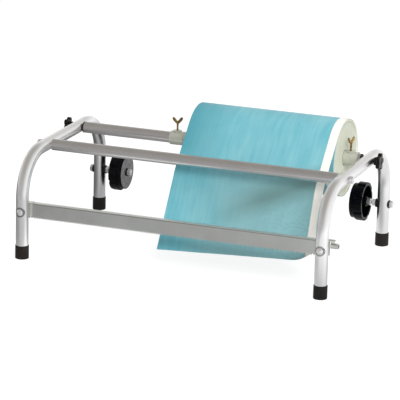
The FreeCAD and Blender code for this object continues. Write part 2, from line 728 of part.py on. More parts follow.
def build_nodes():
    """Every named piece of the dispenser, as one shape or a group of separate solids."""
    nodes = {}
    sides = {"left": -1, "right": 1}
    for name, side in sides.items():
        nodes["side_frame_" + name] = side_frame(side)
        nodes["foot_front_" + name] = rubber_foot(side * frame_x, -leg_y)
        nodes["foot_rear_" + name] = rubber_foot(side * frame_x, leg_y)
        nodes["star_knob_" + name] = knob_head(side)
        nodes["star_knob_stud_" + name] = knob_stud(side)
        nodes["tape_hub_drum_" + name] = hub_drum(side)
        nodes["tape_hub_disc_" + name] = hub_disc(side)
        nodes["core_holder_" + name] = core_holder(side)
        nodes["wing_bolt_" + name] = wing_bolt(side)
    both = sides.values()
    nodes["cutter_bracket_left"] = cutter_bracket(-1)
    nodes["cutter_bracket_right"] = eye_tab()
    nodes["front_bar"] = cross_bar(front_bar_y, frame_inner_x)
    nodes["roll_bar"] = cross_bar(roll_bar_y, roll_bar_end)
    front_plugs = [bar_plug(side, front_bar_y, frame_inner_x, bolt_radius) for side in both]
    nodes["front_bar_plugs"] = Part.makeCompound(front_plugs)
    stud_thread = bolt_radius + running_clearance
    roll_plugs = [bar_plug(side, roll_bar_y, roll_bar_end, stud_thread) for side in both]
    nodes["roll_bar_plugs"] = Part.makeCompound(roll_plugs)
    nodes["roll_bar_washers"] = Part.makeCompound([roll_bar_washer(side) for side in both])
    nodes["front_bar_bolts"] = Part.makeCompound([front_bar_bolt(side) for side in both])
    bar_washers = [washer((side * frame_outer_x, front_bar_y, top_run_height), (side, 0, 0)) for side in both]
    nodes["front_bar_washers"] = Part.makeCompound(bar_washers)
    nodes["cutter_bar"] = cutter_bar()
    nodes["cutter_bolts"] = Part.makeCompound([cutter_bolt(side) for side in both])
    nodes["cutter_nuts"] = Part.makeCompound([cutter_nut(side) for side in both])
    nodes["cutter_washers"] = Part.makeCompound([saddle_washer(side) for side in both])
    nodes["tape_axle_bolts"] = Part.makeCompound([hub_axle_bolt(side) for side in both])
    nodes["tape_axle_nuts"] = Part.makeCompound([nut for side in both for nut in hub_nuts(side)])
    nodes["tape_axle_washers"] = Part.makeCompound([disc for side in both for disc in hub_washers(side)])
    nodes["tape_leg_pads"] = Part.makeCompound([leg_pad(side) for side in both])
    nodes["core_tube"] = core_tube()
    nodes["paper_roll"] = wound_paper()
    nodes["roll_tape_band"] = roll_tape_band()
    nodes["paper_sheet"] = paper_sheet()
    nodes["sheet_tape_strip"] = sheet_tape_strip()
    return nodes


for node_name, node_shape in build_nodes().items():
    node_shape.translate(Vector(0, middle_shift_y, 0))
    node_shape.exportStep("parts/" + node_name + ".step")
    volume = round(node_shape.Volume / 1000, 2)
    print(node_name, len(node_shape.Solids), "solids", volume, "cm3", node_shape.isValid())
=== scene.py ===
"""Masking paper dispenser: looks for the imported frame, in metres and in the frame's own axes.

X runs right along the bars, Y runs back towards the paper roll and Z is up. Pieces whose shape needs
more than the construction gives are built here as numpy grids, and every piece gets its finish here.
"""
import logging
import math
from dataclasses import dataclass, field
from enum import Enum
from functools import reduce
from typing import Any, Dict, List, Optional, Sequence, Tuple

import bmesh
import bpy
import numpy as np
from mathutils import Matrix, Vector


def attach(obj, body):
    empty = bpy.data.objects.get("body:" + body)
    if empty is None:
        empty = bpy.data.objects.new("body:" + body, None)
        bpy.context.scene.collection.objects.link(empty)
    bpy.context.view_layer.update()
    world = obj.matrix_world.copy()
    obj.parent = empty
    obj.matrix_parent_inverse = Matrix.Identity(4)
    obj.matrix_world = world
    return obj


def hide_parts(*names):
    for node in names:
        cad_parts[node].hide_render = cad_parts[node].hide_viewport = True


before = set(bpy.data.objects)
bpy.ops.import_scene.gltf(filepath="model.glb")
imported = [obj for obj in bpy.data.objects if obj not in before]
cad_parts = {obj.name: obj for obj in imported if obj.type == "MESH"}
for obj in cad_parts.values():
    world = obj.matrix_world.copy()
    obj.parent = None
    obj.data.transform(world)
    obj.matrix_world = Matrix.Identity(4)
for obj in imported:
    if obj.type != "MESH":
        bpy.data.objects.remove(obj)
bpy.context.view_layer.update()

LOG = logging.getLogger("dispenser")
NODES: Dict[str, bpy.types.Object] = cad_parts
Triple = Tuple[float, float, float]
Span = Tuple[float, float]
Grid = np.ndarray
Socket = bpy.types.NodeSocket

# The screen's colour curve: a straight line below the knee, and a power above it
KNEE, SLOPE, OFFSET, POWER = 0.04045, 12.92, 0.055, 2.4
# The values between which most of a noise lies, and their middle
NOISE_SPAN: Span = (0.3, 0.7)
NOISE_MIDDLE = 0.5

# Places and sizes that the pieces below share with the construction
MM = 0.001
SHIFT_Y = -11.2 * MM
LEG_Y = 190 * MM + SHIFT_Y
BAR_Z = 198 * MM
ROLL_Y = 78 * MM + SHIFT_Y
ROLL_RADIUS = 75 * MM
RIM_RADIUS = 70 * MM
CORE_RADIUS = 15.7 * MM
DISH_DEPTH = 2.8 * MM
ROLL_LEFT = -45 * MM
ROLL_RIGHT = 255 * MM
TAPE_WIDTH = 16.5 * MM
LEAVE_ANGLE = math.radians(46.7)
TAPE_ARCS = ((math.radians(35.0), math.pi / 2 + LEAVE_ANGLE), (math.radians(188.0), math.radians(278.0)))


class Side(Enum):
    """The two ends of the bars."""

    LEFT = -1
    RIGHT = 1

    @property
    def word(self) -> str:
        """The side's name as it stands at the end of a node's name."""
        return self.name.lower()

    @property
    def outwards(self) -> np.ndarray:
        """The way from the middle to this side."""
        return np.array([float(self.value), 0.0, 0.0])


def srgb(red: float, green: float, blue: float) -> Triple:
    """Turn a colour as seen on a screen into the shader's linear values.

    Args:
        red: its red part, from 0 to 255.
        green: its green part.
        blue: its blue part.

    Returns:
        The linear parts: near black a straight line, and above it a power curve.
    """
    seen = np.array([red, green, blue]) / 255.0
    linear = np.where(seen <= KNEE, seen / SLOPE, ((seen + OFFSET) / (1 + OFFSET)) ** POWER)
    return tuple(float(part) for part in linear)


def shaded(colour: Triple, factor: float) -> Triple:
    """A colour made darker or lighter by one factor."""
    return tuple(min(part * factor, 1.0) for part in colour)


def smoothstep(start: float, end: float, value: np.ndarray) -> np.ndarray:
    """Rise smoothly from 0 at start to 1 at end: three times the square less twice the cube."""
    share = np.clip((value - start) / (end - start), 0.0, 1.0)
    return share * share * (3.0 - 2.0 * share)


# Shader nodes and finishes


class Nodes:
    """A node tree, with short calls for the nodes that the finishes and the studio use."""

    def __init__(self, tree: bpy.types.NodeTree, coordinates: str) -> None:
        """Take a tree and the kind of texture coordinates that its patterns follow."""
        self.tree = tree
        self.place = self.add("ShaderNodeTexCoord").outputs[coordinates]

    def add(self, kind: str, inputs: Optional[Dict[Any, Any]] = None, **settings: Any) -> bpy.types.Node:
        """Add a node.

        Args:
            kind: the node's type.
            inputs: a socket or a plain value for each named input.
            settings: attributes of the node itself.

        Returns:
            The new node.
        """
        node = self.tree.nodes.new(kind)
        for key, value in settings.items():
            setattr(node, key, value)
        for key, value in (inputs or {}).items():
            self.feed(node.inputs[key], value)
        return node

    def feed(self, socket: Socket, value: Any) -> None:
        """Link a socket or set its plain value.

        Args:
            socket: the socket to feed.
            value: another socket, or a plain value; a colour may have three parts.
        """
        if isinstance(value, bpy.types.NodeSocket):
            self.tree.links.new(value, socket)
        elif socket.type == "RGBA":
            socket.default_value = (*value[:3], 1.0)
        else:
            socket.default_value = value

    def stretched(self, scale: Triple) -> Socket:
        """The coordinates, scaled along each axis."""
        return self.add("ShaderNodeMapping", {"Vector": self.place, "Scale": scale}).outputs["Vector"]

    def noise(self, scale: float, detail: float, place: Optional[Socket] = None) -> Socket:
        """Noise between 0 and 1, about a middle of one half.

        Args:
            scale: how many of its patches stand in a metre.
            detail: how much finer noise is laid over it.
            place: where to read it, if not at the tree's own coordinates.

        Returns:
            The noise.
        """
        inputs = {"Vector": self.place if place is None else place, "Scale": scale, "Detail": detail}
        return self.add("ShaderNodeTexNoise", inputs).outputs["Fac"]

    def spread(
        self, value: Any, low: float, high: float, start: float = NOISE_SPAN[0], end: float = NOISE_SPAN[1]
    ) -> Socket:
        """Map a value from start and end to low and high, and hold it there."""
        limits = {"Value": value, "From Min": start, "From Max": end, "To Min": low, "To Max": high}
        return self.add("ShaderNodeMapRange", limits).outputs["Result"]

    def rise(self, value: Any, start: float = NOISE_SPAN[0], end: float = NOISE_SPAN[1]) -> Socket:
        """Rise from 0 at start to 1 at end."""
        return self.spread(value, 0.0, 1.0, start, end)

    def fall(self, value: Any, start: float, end: float) -> Socket:
        """Fall from 1 at start to 0 at end."""
        return self.spread(value, 1.0, 0.0, start, end)

    def mixed(self, amount: Any, first: Any, second: Any) -> Socket:
        """A colour between two colours."""
        return self.add("ShaderNodeMix", {0: amount, 6: first, 7: second}, data_type="RGBA").outputs[2]

    def maths(self, operation: str, one: Any, other: Any = 0.0) -> Socket:
        """One operation of the Math node on one or two values."""
        return self.add("ShaderNodeMath", {0: one, 1: other}, operation=operation).outputs[0]

    def sums(self, operation: str, *values: Any) -> Socket:
        """One operation of the Math node, carried on from value to value."""
        return reduce(lambda one, other: self.maths(operation, one, other), values)

    def product(self, *values: Any) -> Socket:
        """The values multiplied together."""
        return self.sums("MULTIPLY", *values)

    def weighed(self, *pairs: Tuple[Any, float]) -> Socket:
        """The sum of each value times its weight."""
        return self.sums("ADD", *(self.product(value, weight) for value, weight in pairs))

    def mean(self, *values: Any) -> Socket:
        """The mean of the values."""
        return self.weighed(*((value, 1 / len(values)) for value in values))

    def away(self, value: Any, middle: float) -> Socket:
        """How far a value is from a middle, to either side."""
        return self.maths("ABSOLUTE", self.maths("SUBTRACT", value, middle))

    def parts(self) -> Sequence[Socket]:
        """The X, Y and Z parts of the coordinates."""
        return self.add("ShaderNodeSeparateXYZ", {0: self.place}).outputs

    def bump(self, height: Any, depth: float, strength: float = 1.0) -> Socket:
        """A normal that a height field of that depth in metres disturbs."""
        inputs = {"Height": height, "Distance": depth, "Strength": strength}
        return self.add("ShaderNodeBump", inputs).outputs["Normal"]

    def glow(self, strength: Any) -> Socket:
        """White light of a strength."""
        return self.add("ShaderNodeEmission", {"Color": (1.0, 1.0, 1.0), "Strength": strength}).outputs[0]

    def grey(self, tone: float) -> Socket:
        """A plain grey surface."""
        return self.add("ShaderNodeBsdfDiffuse", {"Color": (tone, tone, tone)}).outputs[0]


class Graph(Nodes):
    """The shader graph of one new material, on Object coordinates."""

    def __init__(self, name: str) -> None:
        """Start from a Principled shader.

        Args:
            name: the material's name.
        """
        self.material = bpy.data.materials.new(name)
        self.material.use_nodes = True
        super().__init__(self.material.node_tree, "Object")
        self.shader = self.tree.nodes["Principled BSDF"]

    def finish(self, **inputs: Any) -> bpy.types.Material:
        """Feed the shader's sockets.

        Args:
            inputs: a socket or a plain value for each input, with the spaces in its name as underscores.

        Returns:
            The finished material.
        """
        for key, value in inputs.items():
            self.feed(self.shader.inputs[key.replace("_", " ")], value)
        return self.material


@dataclass(frozen=True)
class Metal:
    """Bare or plated metal with a fine grain, a faint uneven tone and, if it has a line, painted shade and
    light.

    Args:
        name: the material's name.
        colour: its linear colour.
        roughness: its middle roughness.
        cloud: how far the tone strays to each side.
        grain: how fine the grain is along X, Y and Z, per metre.
        depth: how deep the grain looks, in metres.
        uneven: how far the roughness strays to each side.
        patches: how many tone patches stand in a metre.
        metallic: how metallic it is; less for a dull plating.
        line: the heights between which a band of painted shade runs, if it has one.
        shade_line_blur: how far each edge of the painted shade band fades to either side.
        painted_shade_tone: the painted shade's tone, as a factor.
        painted_light_top_tone: the tone of the painted light above the band, as a factor.
    """

    name: str
    colour: Triple
    roughness: float
    cloud: float = 0.06
    grain: Triple = (900.0, 900.0, 900.0)
    depth: float = 0.000004
    uneven: float = 0.04
    patches: float = 28.0
    metallic: float = 1.0
    # Painted shade on the line, and painted light above it
    line: Optional[Span] = None
    shade_line_blur: float = 0.2 * MM
    painted_shade_tone: float = 0.6
    painted_light_top_tone: float = 1.5

    def material(self) -> bpy.types.Material:
        """Build the material."""
        graph = Graph(self.name)
        tone = graph.rise(graph.noise(self.patches, detail=4.0))
        fine = graph.noise(1.0, detail=2.0, place=graph.stretched(self.grain))
        colour = graph.mixed(tone, shaded(self.colour, 1 - self.cloud), shaded(self.colour, 1 + self.cloud))
        # Painted light and shade: lighter above the line, darker on it
        if self.line is not None:
            z, blur = graph.parts()[2], self.shade_line_blur
            above_line, below_top = [(edge - blur, edge + blur) for edge in self.line]
            below = graph.fall(z, *below_top)
            colour = graph.mixed(below, shaded(self.colour, self.painted_light_top_tone), colour)
            on_shade_line = graph.product(graph.rise(z, *above_line), below)
            colour = graph.mixed(on_shade_line, colour, shaded(self.colour, self.painted_shade_tone))
        rough = graph.spread(fine, self.roughness - self.uneven, self.roughness + self.uneven)
        normal = graph.bump(fine, self.depth)
        return graph.finish(Base_Color=colour, Metallic=self.metallic, Roughness=rough, Normal=normal)


@dataclass(frozen=True)
class Moulded:
    """Plastic, rubber or card with a faint texture and worn lighter spots.

    Args:
        name: the material's name.
        colour: its linear colour.
        worn: the colour of its lighter spots.
        roughness: its middle roughness.
        texture: how fine its texture is, per metre.
        depth: how deep the texture looks, in metres.
        specular: its specular level.
        spots: how many worn spots stand in a metre.
        spot_span: the noise values between which a spot comes up.
        uneven: how far the roughness strays to each side.
    """

    name: str
    colour: Triple
    worn: Triple
    roughness: float
    texture: float = 700.0
    depth: float = 0.00002
    specular: float = 0.5
    spots: float = 45.0
    spot_span: Span = (0.45, 0.75)
    uneven: float = 0.06

    def material(self) -> bpy.types.Material:
        """Build the material."""
        graph = Graph(self.name)
        fine = graph.noise(self.texture, detail=3.0)
        worn = graph.rise(graph.noise(self.spots, detail=5.0), *self.spot_span)
        return graph.finish(
            Base_Color=graph.mixed(worn, self.colour, self.worn),
            Roughness=graph.spread(fine, self.roughness - self.uneven, self.roughness + self.uneven),
            Specular_IOR_Level=self.specular,
            Normal=graph.bump(fine, self.depth),
        )


@dataclass(frozen=True)
class MaskingPaper:
    """Thin coloured paper with streaks round the roll, fine fibres, a soft gloss and painted shade at its
    upper left.

    Args:
        name: the material's name.
        colour: its linear colour.
        pale: the colour of its paler streaks.
        roughness: its roughness between its smoothest and its roughest fibres.
        streaks: how fine the streaks are along X, Y and Z, per metre.
        clouds: how many paler clouds stand in a metre.
        fibres: how fine the fibres are along X, Y and Z, per metre.
        fibre_depth: how deep the fibres look, in metres.
        pale_span: the noise values between which the paler colour comes up.
        left_shade_width: how far the painted shade at the left edge reaches.
        left_shade_heights: the heights between which that painted shade fades in.
        left_shade_tone: that painted shade, as a factor.
        left_gloss: the specular level at the left edge.
        gloss: the specular level away from it.
        gloss_width: how far from the left edge the gloss is full.
    """

    name: str
    colour: Triple
    pale: Triple
    roughness: Span = (0.41, 0.54)
    streaks: Triple = (150.0, 14.0, 14.0)
    clouds: float = 16.0
    fibres: Triple = (1500.0, 500.0, 500.0)
    fibre_depth: float = 0.00001
    pale_span: Span = (0.34, 0.66)
    # Painted shade at the roll's upper left
    left_shade_width: float = 90 * MM
    left_shade_heights: Span = (160 * MM, 210 * MM)
    left_shade_tone: float = 0.78
    left_gloss: float = 0.15
    gloss: float = 1.0
    gloss_width: float = 120 * MM

    def material(self) -> bpy.types.Material:
        """Build the material."""
        graph = Graph(self.name)
        x, _, z = graph.parts()
        streaks = graph.noise(1.0, detail=5.0, place=graph.stretched(self.streaks))
        clouds = graph.noise(self.clouds, detail=6.0)
        fibres = graph.noise(1.0, detail=2.0, place=graph.stretched(self.fibres))
        tone = graph.rise(graph.mean(streaks, clouds), *self.pale_span)
        colour = graph.mixed(tone, self.colour, self.pale)
        # Painted shade: darker towards the left end of the roll's upper part
        painted_shade_left = graph.product(
            graph.fall(x, ROLL_LEFT, ROLL_LEFT + self.left_shade_width), graph.rise(z, *self.left_shade_heights)
        )
        colour = graph.mixed(painted_shade_left, colour, shaded(self.colour, self.left_shade_tone))
        colour, normal = self.painted_shade_and_normal(graph, colour, tone, clouds, fibres)
        gloss = graph.spread(x, self.left_gloss, self.gloss, ROLL_LEFT, ROLL_LEFT + self.gloss_width)
        return graph.finish(
            Base_Color=colour,
            Roughness=graph.spread(fibres, *self.roughness),
            Specular_IOR_Level=gloss,
            Normal=normal,
        )

    def painted_shade_and_normal(
        self, graph: Graph, colour: Socket, tone: Socket, clouds: Socket, fibres: Socket
    ) -> Tuple[Socket, Socket]:
        """The paper's painted shade and crumples: none while it is still wound, only the fibres' normal.

        Args:
            graph: the material's graph.
            colour: the paper's colour.
            tone: how much of the paler colour it has; not used here.
            clouds: its clouds; not used here.
            fibres: its fibres.

        Returns:
            The colour and the normal.
        """
        return colour, graph.bump(fibres, self.fibre_depth, strength=0.6)


@dataclass(frozen=True, kw_only=True)
class HungPaper(MaskingPaper):
    """Masking paper that hangs out of the roll, with painted shade, sheen and highlights and crumples at its
    lower right.

    Args:
        worn: a painted shade with painted sheen that it takes on to the right of its middle, below the front
            bar.
        shade_from: the X places between which that painted shade fades in.
        shade_below: the heights between which it fades out.
        shade_pale: the tone of its paler streaks, as a factor.
        edge_stray: how far the clouds move the painted shade's edge.
        band_shade: the colour of the slanting band of painted shade.
        band_slope: how far the band rises for each step to the right.
        band_height: the band's height at X zero.
        band_stray: how far the clouds narrow the band.
        band_fade: the distances from its middle between which it fades out.
        band_from: the X places between which it fades in.
        crumples: how fine the crumples are along X, Y and Z, per metre.
        crumpled_from: the X places between which they fade in.
        crumpled_below: the heights between which they fade out.
        crease_width: how far from its middle value the noise still counts as a crease.
        crease_highlight_share: how much of the creases' painted highlight shows.
        crease_highlight_tone: the creases' painted highlight, as a factor of the painted shade colour.
        crumple_depth: how deep the crumples look, in metres.
        fibre_share: how deep the fibres are against the crumples.
    """

    # worn is a painted shade with painted sheen, below the front bar
    worn: Triple
    shade_from: Span = (20 * MM, 140 * MM)
    shade_below: Span = (165 * MM, 205 * MM)
    shade_pale: float = 1.12
    edge_stray: float = 60 * MM
    # The band colour is a painted shade
    band_shade: Triple
    band_slope: float = 0.42
    band_height: float = 80 * MM
    band_stray: float = 16 * MM
    band_fade: Span = (8 * MM, 42 * MM)
    band_from: Span = (40 * MM, 140 * MM)
    crumples: Triple = (70.0, 150.0, 150.0)
    crumpled_from: Span = (120 * MM, 220 * MM)
    crumpled_below: Span = (110 * MM, 150 * MM)
    crease_width: float = 0.08
    # The creases get a painted highlight
    crease_highlight_share: float = 0.4
    crease_highlight_tone: float = 1.45
    crumple_depth: float = 4 * MM
    fibre_share: float = 0.008

    def painted_shade_and_normal(
        self, graph: Graph, colour: Socket, tone: Socket, clouds: Socket, fibres: Socket
    ) -> Tuple[Socket, Socket]:
        """Paint shade, sheen and crease highlights on the paper, and crumple it.

        Args:
            graph: the material's graph.
            colour: the paper's colour.
            tone: how much of the paler colour it has.
            clouds: its clouds.
            fibres: its fibres.

        Returns:
            The colour and the normal.
        """
        x, _, z = graph.parts()
        # Painted shade with painted sheen to the right of the middle, below the front bar
        right = graph.rise(graph.sums("ADD", x, graph.product(clouds, self.edge_stray)), *self.shade_from)
        under = graph.product(right, graph.fall(z, *self.shade_below))
        worn = graph.mixed(tone, self.worn, shaded(self.worn, self.shade_pale))
        colour = graph.mixed(under, colour, worn)
        # The band of painted shade has a middle line that rises to the right
        above_line = graph.sums("SUBTRACT", z, graph.product(x, self.band_slope))
        strayed = graph.product(clouds, self.band_stray)
        away = graph.sums("ADD", graph.away(above_line, self.band_height), strayed)
        band = graph.product(graph.fall(away, *self.band_fade), graph.rise(x, *self.band_from))
        colour = graph.mixed(band, colour, self.band_shade)
        # Creases run where a noise passes its middle value, and get a painted highlight
        crumples = graph.noise(1.0, detail=3.0, place=graph.stretched(self.crumples))
        crumples = graph.away(crumples, NOISE_MIDDLE)
        crumpled = graph.product(graph.rise(x, *self.crumpled_from), graph.fall(z, *self.crumpled_below))
        # Painted highlight along the creases
        near_crease_highlight = graph.spread(crumples, self.crease_highlight_share, 0.0, 0.0, self.crease_width)
        creases = graph.product(near_crease_highlight, crumpled)
        colour = graph.mixed(creases, colour, shaded(self.worn, self.crease_highlight_tone))
        height = graph.sums("ADD", graph.product(fibres, self.fibre_share), graph.product(crumples, crumpled))
        return colour, graph.bump(height, self.crumple_depth, strength=0.6)


@dataclass(frozen=True)
class WoundEdges:
    """The end of a wound roll: fine rings about the roll's axis.

    Args:
        name: the material's name.
        colour: the rings' linear colour.
        shade: the darker rings' colour.
        ring_count: how many fine rings stand in one metre of radius.
        broad: how many broad rings there are for each fine one.
        clouds: how many tone patches stand in a metre.
        shares: how much the fine rings, the broad rings and the patches count in the tone.
        tone_span: the tones between which the colour changes.
        depth: how deep the fine rings look, in metres.
        roughness: its roughness.
        specular: its specular level.
    """

    name: str
    colour: Triple
    shade: Triple
    ring_count: float = 2600.0
    broad: float = 0.12
    clouds: float = 25.0
    shares: Triple = (0.35, 0.4, 0.25)
    tone_span: Span = (0.35, 0.65)
    depth: float = 0.00006
    roughness: float = 0.75
    specular: float = 0.25

    def material(self) -> bpy.types.Material:
        """Build the material: its radius is the root of the squared distances from the roll's axis."""
        graph = Graph(self.name)
        _, y, z = graph.parts()
        across, above = graph.sums("SUBTRACT", y, ROLL_Y), graph.sums("SUBTRACT", z, BAR_Z)
        squares = graph.sums("ADD", graph.product(across, across), graph.product(above, above))
        radius = graph.maths("SQRT", squares)
        rings = graph.add("ShaderNodeCombineXYZ", {0: graph.product(radius, self.ring_count)}).outputs[0]
        fine = graph.noise(1.0, detail=2.0, place=rings)
        broad = graph.noise(self.broad, detail=2.0, place=rings)
        clouds = graph.noise(self.clouds, detail=4.0)
        tone = graph.rise(graph.weighed(*zip((fine, broad, clouds), self.shares)), *self.tone_span)
        return graph.finish(
            Base_Color=graph.mixed(tone, self.shade, self.colour),
            Roughness=self.roughness,
            Specular_IOR_Level=self.specular,
            Normal=graph.bump(fine, self.depth, strength=0.7),
        )


@dataclass(frozen=True)
class CrepeTape:
    """Creped paper tape: fine ridges across the tape, which runs square to X, with painted shade in their
    folds.

    Args:
        name: the material's name.
        colour: its linear colour.
        shade: the painted shade in its folds.
        ridges: how fine the ridges are along X, Y and Z, per metre.
        clouds: how many tone patches stand in a metre.
        depth: how deep the ridges look, in metres.
        roughness: its roughness.
        specular: its specular level.
    """

    name: str
    colour: Triple
    shade: Triple
    ridges: Triple = (160.0, 900.0, 900.0)
    clouds: float = 60.0
    depth: float = 0.00008
    roughness: float = 0.6
    specular: float = 0.3

    def material(self) -> bpy.types.Material:
        """Build the material."""
        graph = Graph(self.name)
        ridges = graph.noise(1.0, detail=3.0, place=graph.stretched(self.ridges))
        # Painted shade: darker where the ridges sink into folds
        tone = graph.rise(graph.mean(ridges, graph.noise(self.clouds, detail=3.0)))
        return graph.finish(
            Base_Color=graph.mixed(tone, self.shade, self.colour),
            Roughness=self.roughness,
            Specular_IOR_Level=self.specular,
            Normal=graph.bump(ridges, self.depth, strength=0.6),
        )


FRAME_TUBE = Metal("polished_tube", srgb(238, 238, 238), 0.3, cloud=0.02, uneven=0.03)
BAR_TUBE = Metal(
    "satin_bar", srgb(205, 203, 202), 0.3, cloud=0.03, grain=(12.0, 1400.0, 1400.0), depth=0.0000015
)
# The cutter's fold gets a band of painted shade, and the flange above it painted light
CUTTER_STEEL = Metal(
    "brushed_cutter", srgb(199, 201, 198), 0.46, cloud=0.05, grain=(45.0, 2200.0, 2200.0), depth=0.00001,
    line=(104.3 * MM, 105.7 * MM),
)
BRACKET_STEEL = Metal("bracket_plating", srgb(226, 226, 222), 0.34, cloud=0.08)
ZINC = Metal("zinc_plating", srgb(232, 233, 232), 0.2, cloud=0.1, metallic=0.85)
DISC_STEEL = Metal(
    "disc_plating", srgb(148, 147, 149), 0.36, cloud=0.4, grain=(500.0, 1200.0, 1200.0), patches=260.0
)
HOLDER_METAL = Metal("cast_holder", srgb(206, 208, 196), 0.38, cloud=0.1, depth=0.00002, metallic=0.6)
WING_BRASS = Metal("yellow_plating", srgb(158, 132, 84), 0.3, cloud=0.75, patches=170.0)
RUBBER = Moulded(
    "black_rubber", srgb(24, 20, 17), srgb(38, 33, 29), 0.62, texture=1100.0, depth=0.00006, specular=0.3
)
HUB_PLASTIC = Moulded(
    "gloss_hub_plastic", srgb(5, 5, 8), srgb(12, 12, 16), 0.2, texture=300.0, depth=0.000006, specular=0.1
)
KNOB_PLASTIC = Moulded("matt_knob_plastic", srgb(12, 10, 11), srgb(26, 23, 23), 0.3, specular=0.25)
DARK_WASHER = Moulded("dark_washer", srgb(18, 17, 17), srgb(36, 34, 32), 0.5)
CARDBOARD = Moulded(
    "cardboard", srgb(188, 186, 168), srgb(204, 203, 188), 0.85, texture=500.0, depth=0.00008, specular=0.15
)
BLUE, PALE_BLUE = srgb(92, 167, 181), srgb(124, 184, 193)
BLUE_PAPER = MaskingPaper("blue_masking_paper", BLUE, PALE_BLUE)
# The hanging paper's worn colour is painted shade with sheen, and its band colour is painted shade
HUNG_PAPER = HungPaper(
    "hanging_masking_paper", BLUE, PALE_BLUE, worn=srgb(119, 166, 171), band_shade=srgb(98, 136, 136)
)
WOUND_END = WoundEdges("wound_paper_end", srgb(236, 238, 222), srgb(214, 219, 200))
MASKING_TAPE = CrepeTape("crepe_masking_tape", srgb(238, 236, 230), srgb(226, 223, 214))

MADE: Dict[str, bpy.types.Material] = {}


def material_of(finish: Any) -> bpy.types.Material:
    """The material of a finish, built once.

    Args:
        finish: one of the finishes above.

    Returns:
        Its material.
    """
    if finish.name not in MADE:
        MADE[finish.name] = finish.material()
    return MADE[finish.name]


def dress(finish: Any, *names: str) -> None:
    """Put a finish in every material slot of some construction nodes.

    Args:
        finish: the finish.
        names: the nodes' names.
    """
    for name in names:
        for slot in NODES[name].material_slots:
            slot.material = material_of(finish)
        LOG.info("%s: dressed as %s", name, finish.name)


# Mesh helpers


def grid_faces(rows: int, columns: int, round_columns: bool, start: int) -> np.ndarray:
    """Index quads of a grid of points.

    Args:
        rows: number of points along the first parameter.
        columns: number of points along the second parameter.
        round_columns: joins the last column to the first.
        start: index of the grid's first point in its mesh.

    Returns:
        An array of quads, four indices each.
    """
    row = np.arange(rows - 1)
    column = np.arange(columns if round_columns else columns - 1)
    a, b = np.meshgrid(row, column, indexing="ij")
    b_next = (b + 1) % columns
    corners = [a * columns + b, (a + 1) * columns + b, (a + 1) * columns + b_next, a * columns + b_next]
    return np.stack(corners, -1).reshape(-1, 4) + start


@dataclass
class Surface:
    """One grid of points, with what it needs to become faces.

    Args:
        points: rows by columns by three, in metres.
        round_columns: joins the last column to the first.
        slot: index of the piece's material slot.
    """

    points: Grid
    round_columns: bool = False
    slot: int = 0


def build_piece(
    name: str,
    surfaces: Sequence[Surface],
    finishes: Sequence[Any],
    body: str,
    crease: float = 35.0,
) -> bpy.types.Object:
    """Make one closed mesh object from several grids and let it ride on a body.

    Args:
        name: the piece's name.
        surfaces: the grids, which meet point on point.
        finishes: a finish for each material slot.
        body: the body that the piece rides on.
        crease: the angle in degrees from which an edge is shaded sharp.

    Returns:
        The new object, at the origin.
    """
    points, quads, slots, start = [], [], [], 0
    for surface in surfaces:
        rows, columns = surface.points.shape[:2]
        faces = grid_faces(rows, columns, surface.round_columns, start)
        points.append(surface.points.reshape(-1, 3))
        quads.append(faces)
        slots.append(np.full(len(faces), surface.slot, dtype=np.int32))
        start += rows * columns
    mesh = bpy.data.meshes.new(name)
    mesh.from_pydata(np.concatenate(points), [], np.concatenate(quads))
    mesh.polygons.foreach_set("material_index", np.concatenate(slots))
    for finish in finishes:
        mesh.materials.append(material_of(finish))
    weld(mesh)
    mesh.polygons.foreach_set("use_smooth", np.ones(len(mesh.polygons), dtype=bool))
    mesh.set_sharp_from_angle(angle=math.radians(crease))
    mesh.update()
    piece = bpy.data.objects.new(name, mesh)
    bpy.context.scene.collection.objects.link(piece)
    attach(piece, body)
    LOG.info("%s: %d faces on %s", name, len(mesh.polygons), body)
    return piece


def weld(mesh: bpy.types.Mesh, apart: float = 1e-6, thin: float = 1e-7) -> None:
    """Join the points where grids meet, close the poles and point all faces outwards.

    Args:
        mesh: the mesh to change.
        apart: how far apart in metres two points are still one.
        thin: how short an edge in metres is left out.
    """
    work = bmesh.new()
    work.from_mesh(mesh)
    bmesh.ops.remove_doubles(work, verts=work.verts, dist=apart)
    bmesh.ops.dissolve_degenerate(work, edges=work.edges, dist=thin)
    bmesh.ops.recalc_face_normals(work, faces=work.faces)
    work.to_mesh(mesh)
    work.free()


@dataclass
class Lathe:
    """Turns profiles about an axis.

    Args:
        place: the axis's start, in metres.
        axis: the way the axis runs.
        zero: the way that angle zero points, square to the axis.
        columns: how many points go round.
    """

    place: Sequence[float]
    axis: Sequence[float]
    zero: Sequence[float] = (0.0, 0.0, 1.0)
    columns: int = 96

    @property
    def angles(self) -> np.ndarray:
        """The angles of the columns, in radians."""
        return np.arange(self.columns) * (2 * math.pi / self.columns)

    def spread_out(self, values: Sequence[float]) -> np.ndarray:
        """Values for each row and column, from one per row or one per row and column."""
        rows = np.asarray(values, dtype=float).reshape(len(values), -1)
        return np.broadcast_to(rows, (len(values), self.columns))

    def turn(self, along: Sequence[float], radii: Sequence[float]) -> Grid:
        """Turn a profile.

        Args:
            along: the place of each row along the axis, or one per row and column.
            radii: a radius per row, or one per row and column.

        Returns:
            The grid: the place, plus the way along the axis, plus the radius at each angle.
        """
        reach, radius = self.spread_out(along), self.spread_out(radii)
        axis, zero = np.asarray(self.axis, dtype=float), np.asarray(self.zero, dtype=float)
        third = np.cross(axis, zero)
        ring = np.cos(self.angles)[:, None] * zero + np.sin(self.angles)[:, None] * third
        return np.asarray(self.place) + reach[..., None] * axis + radius[..., None] * ring


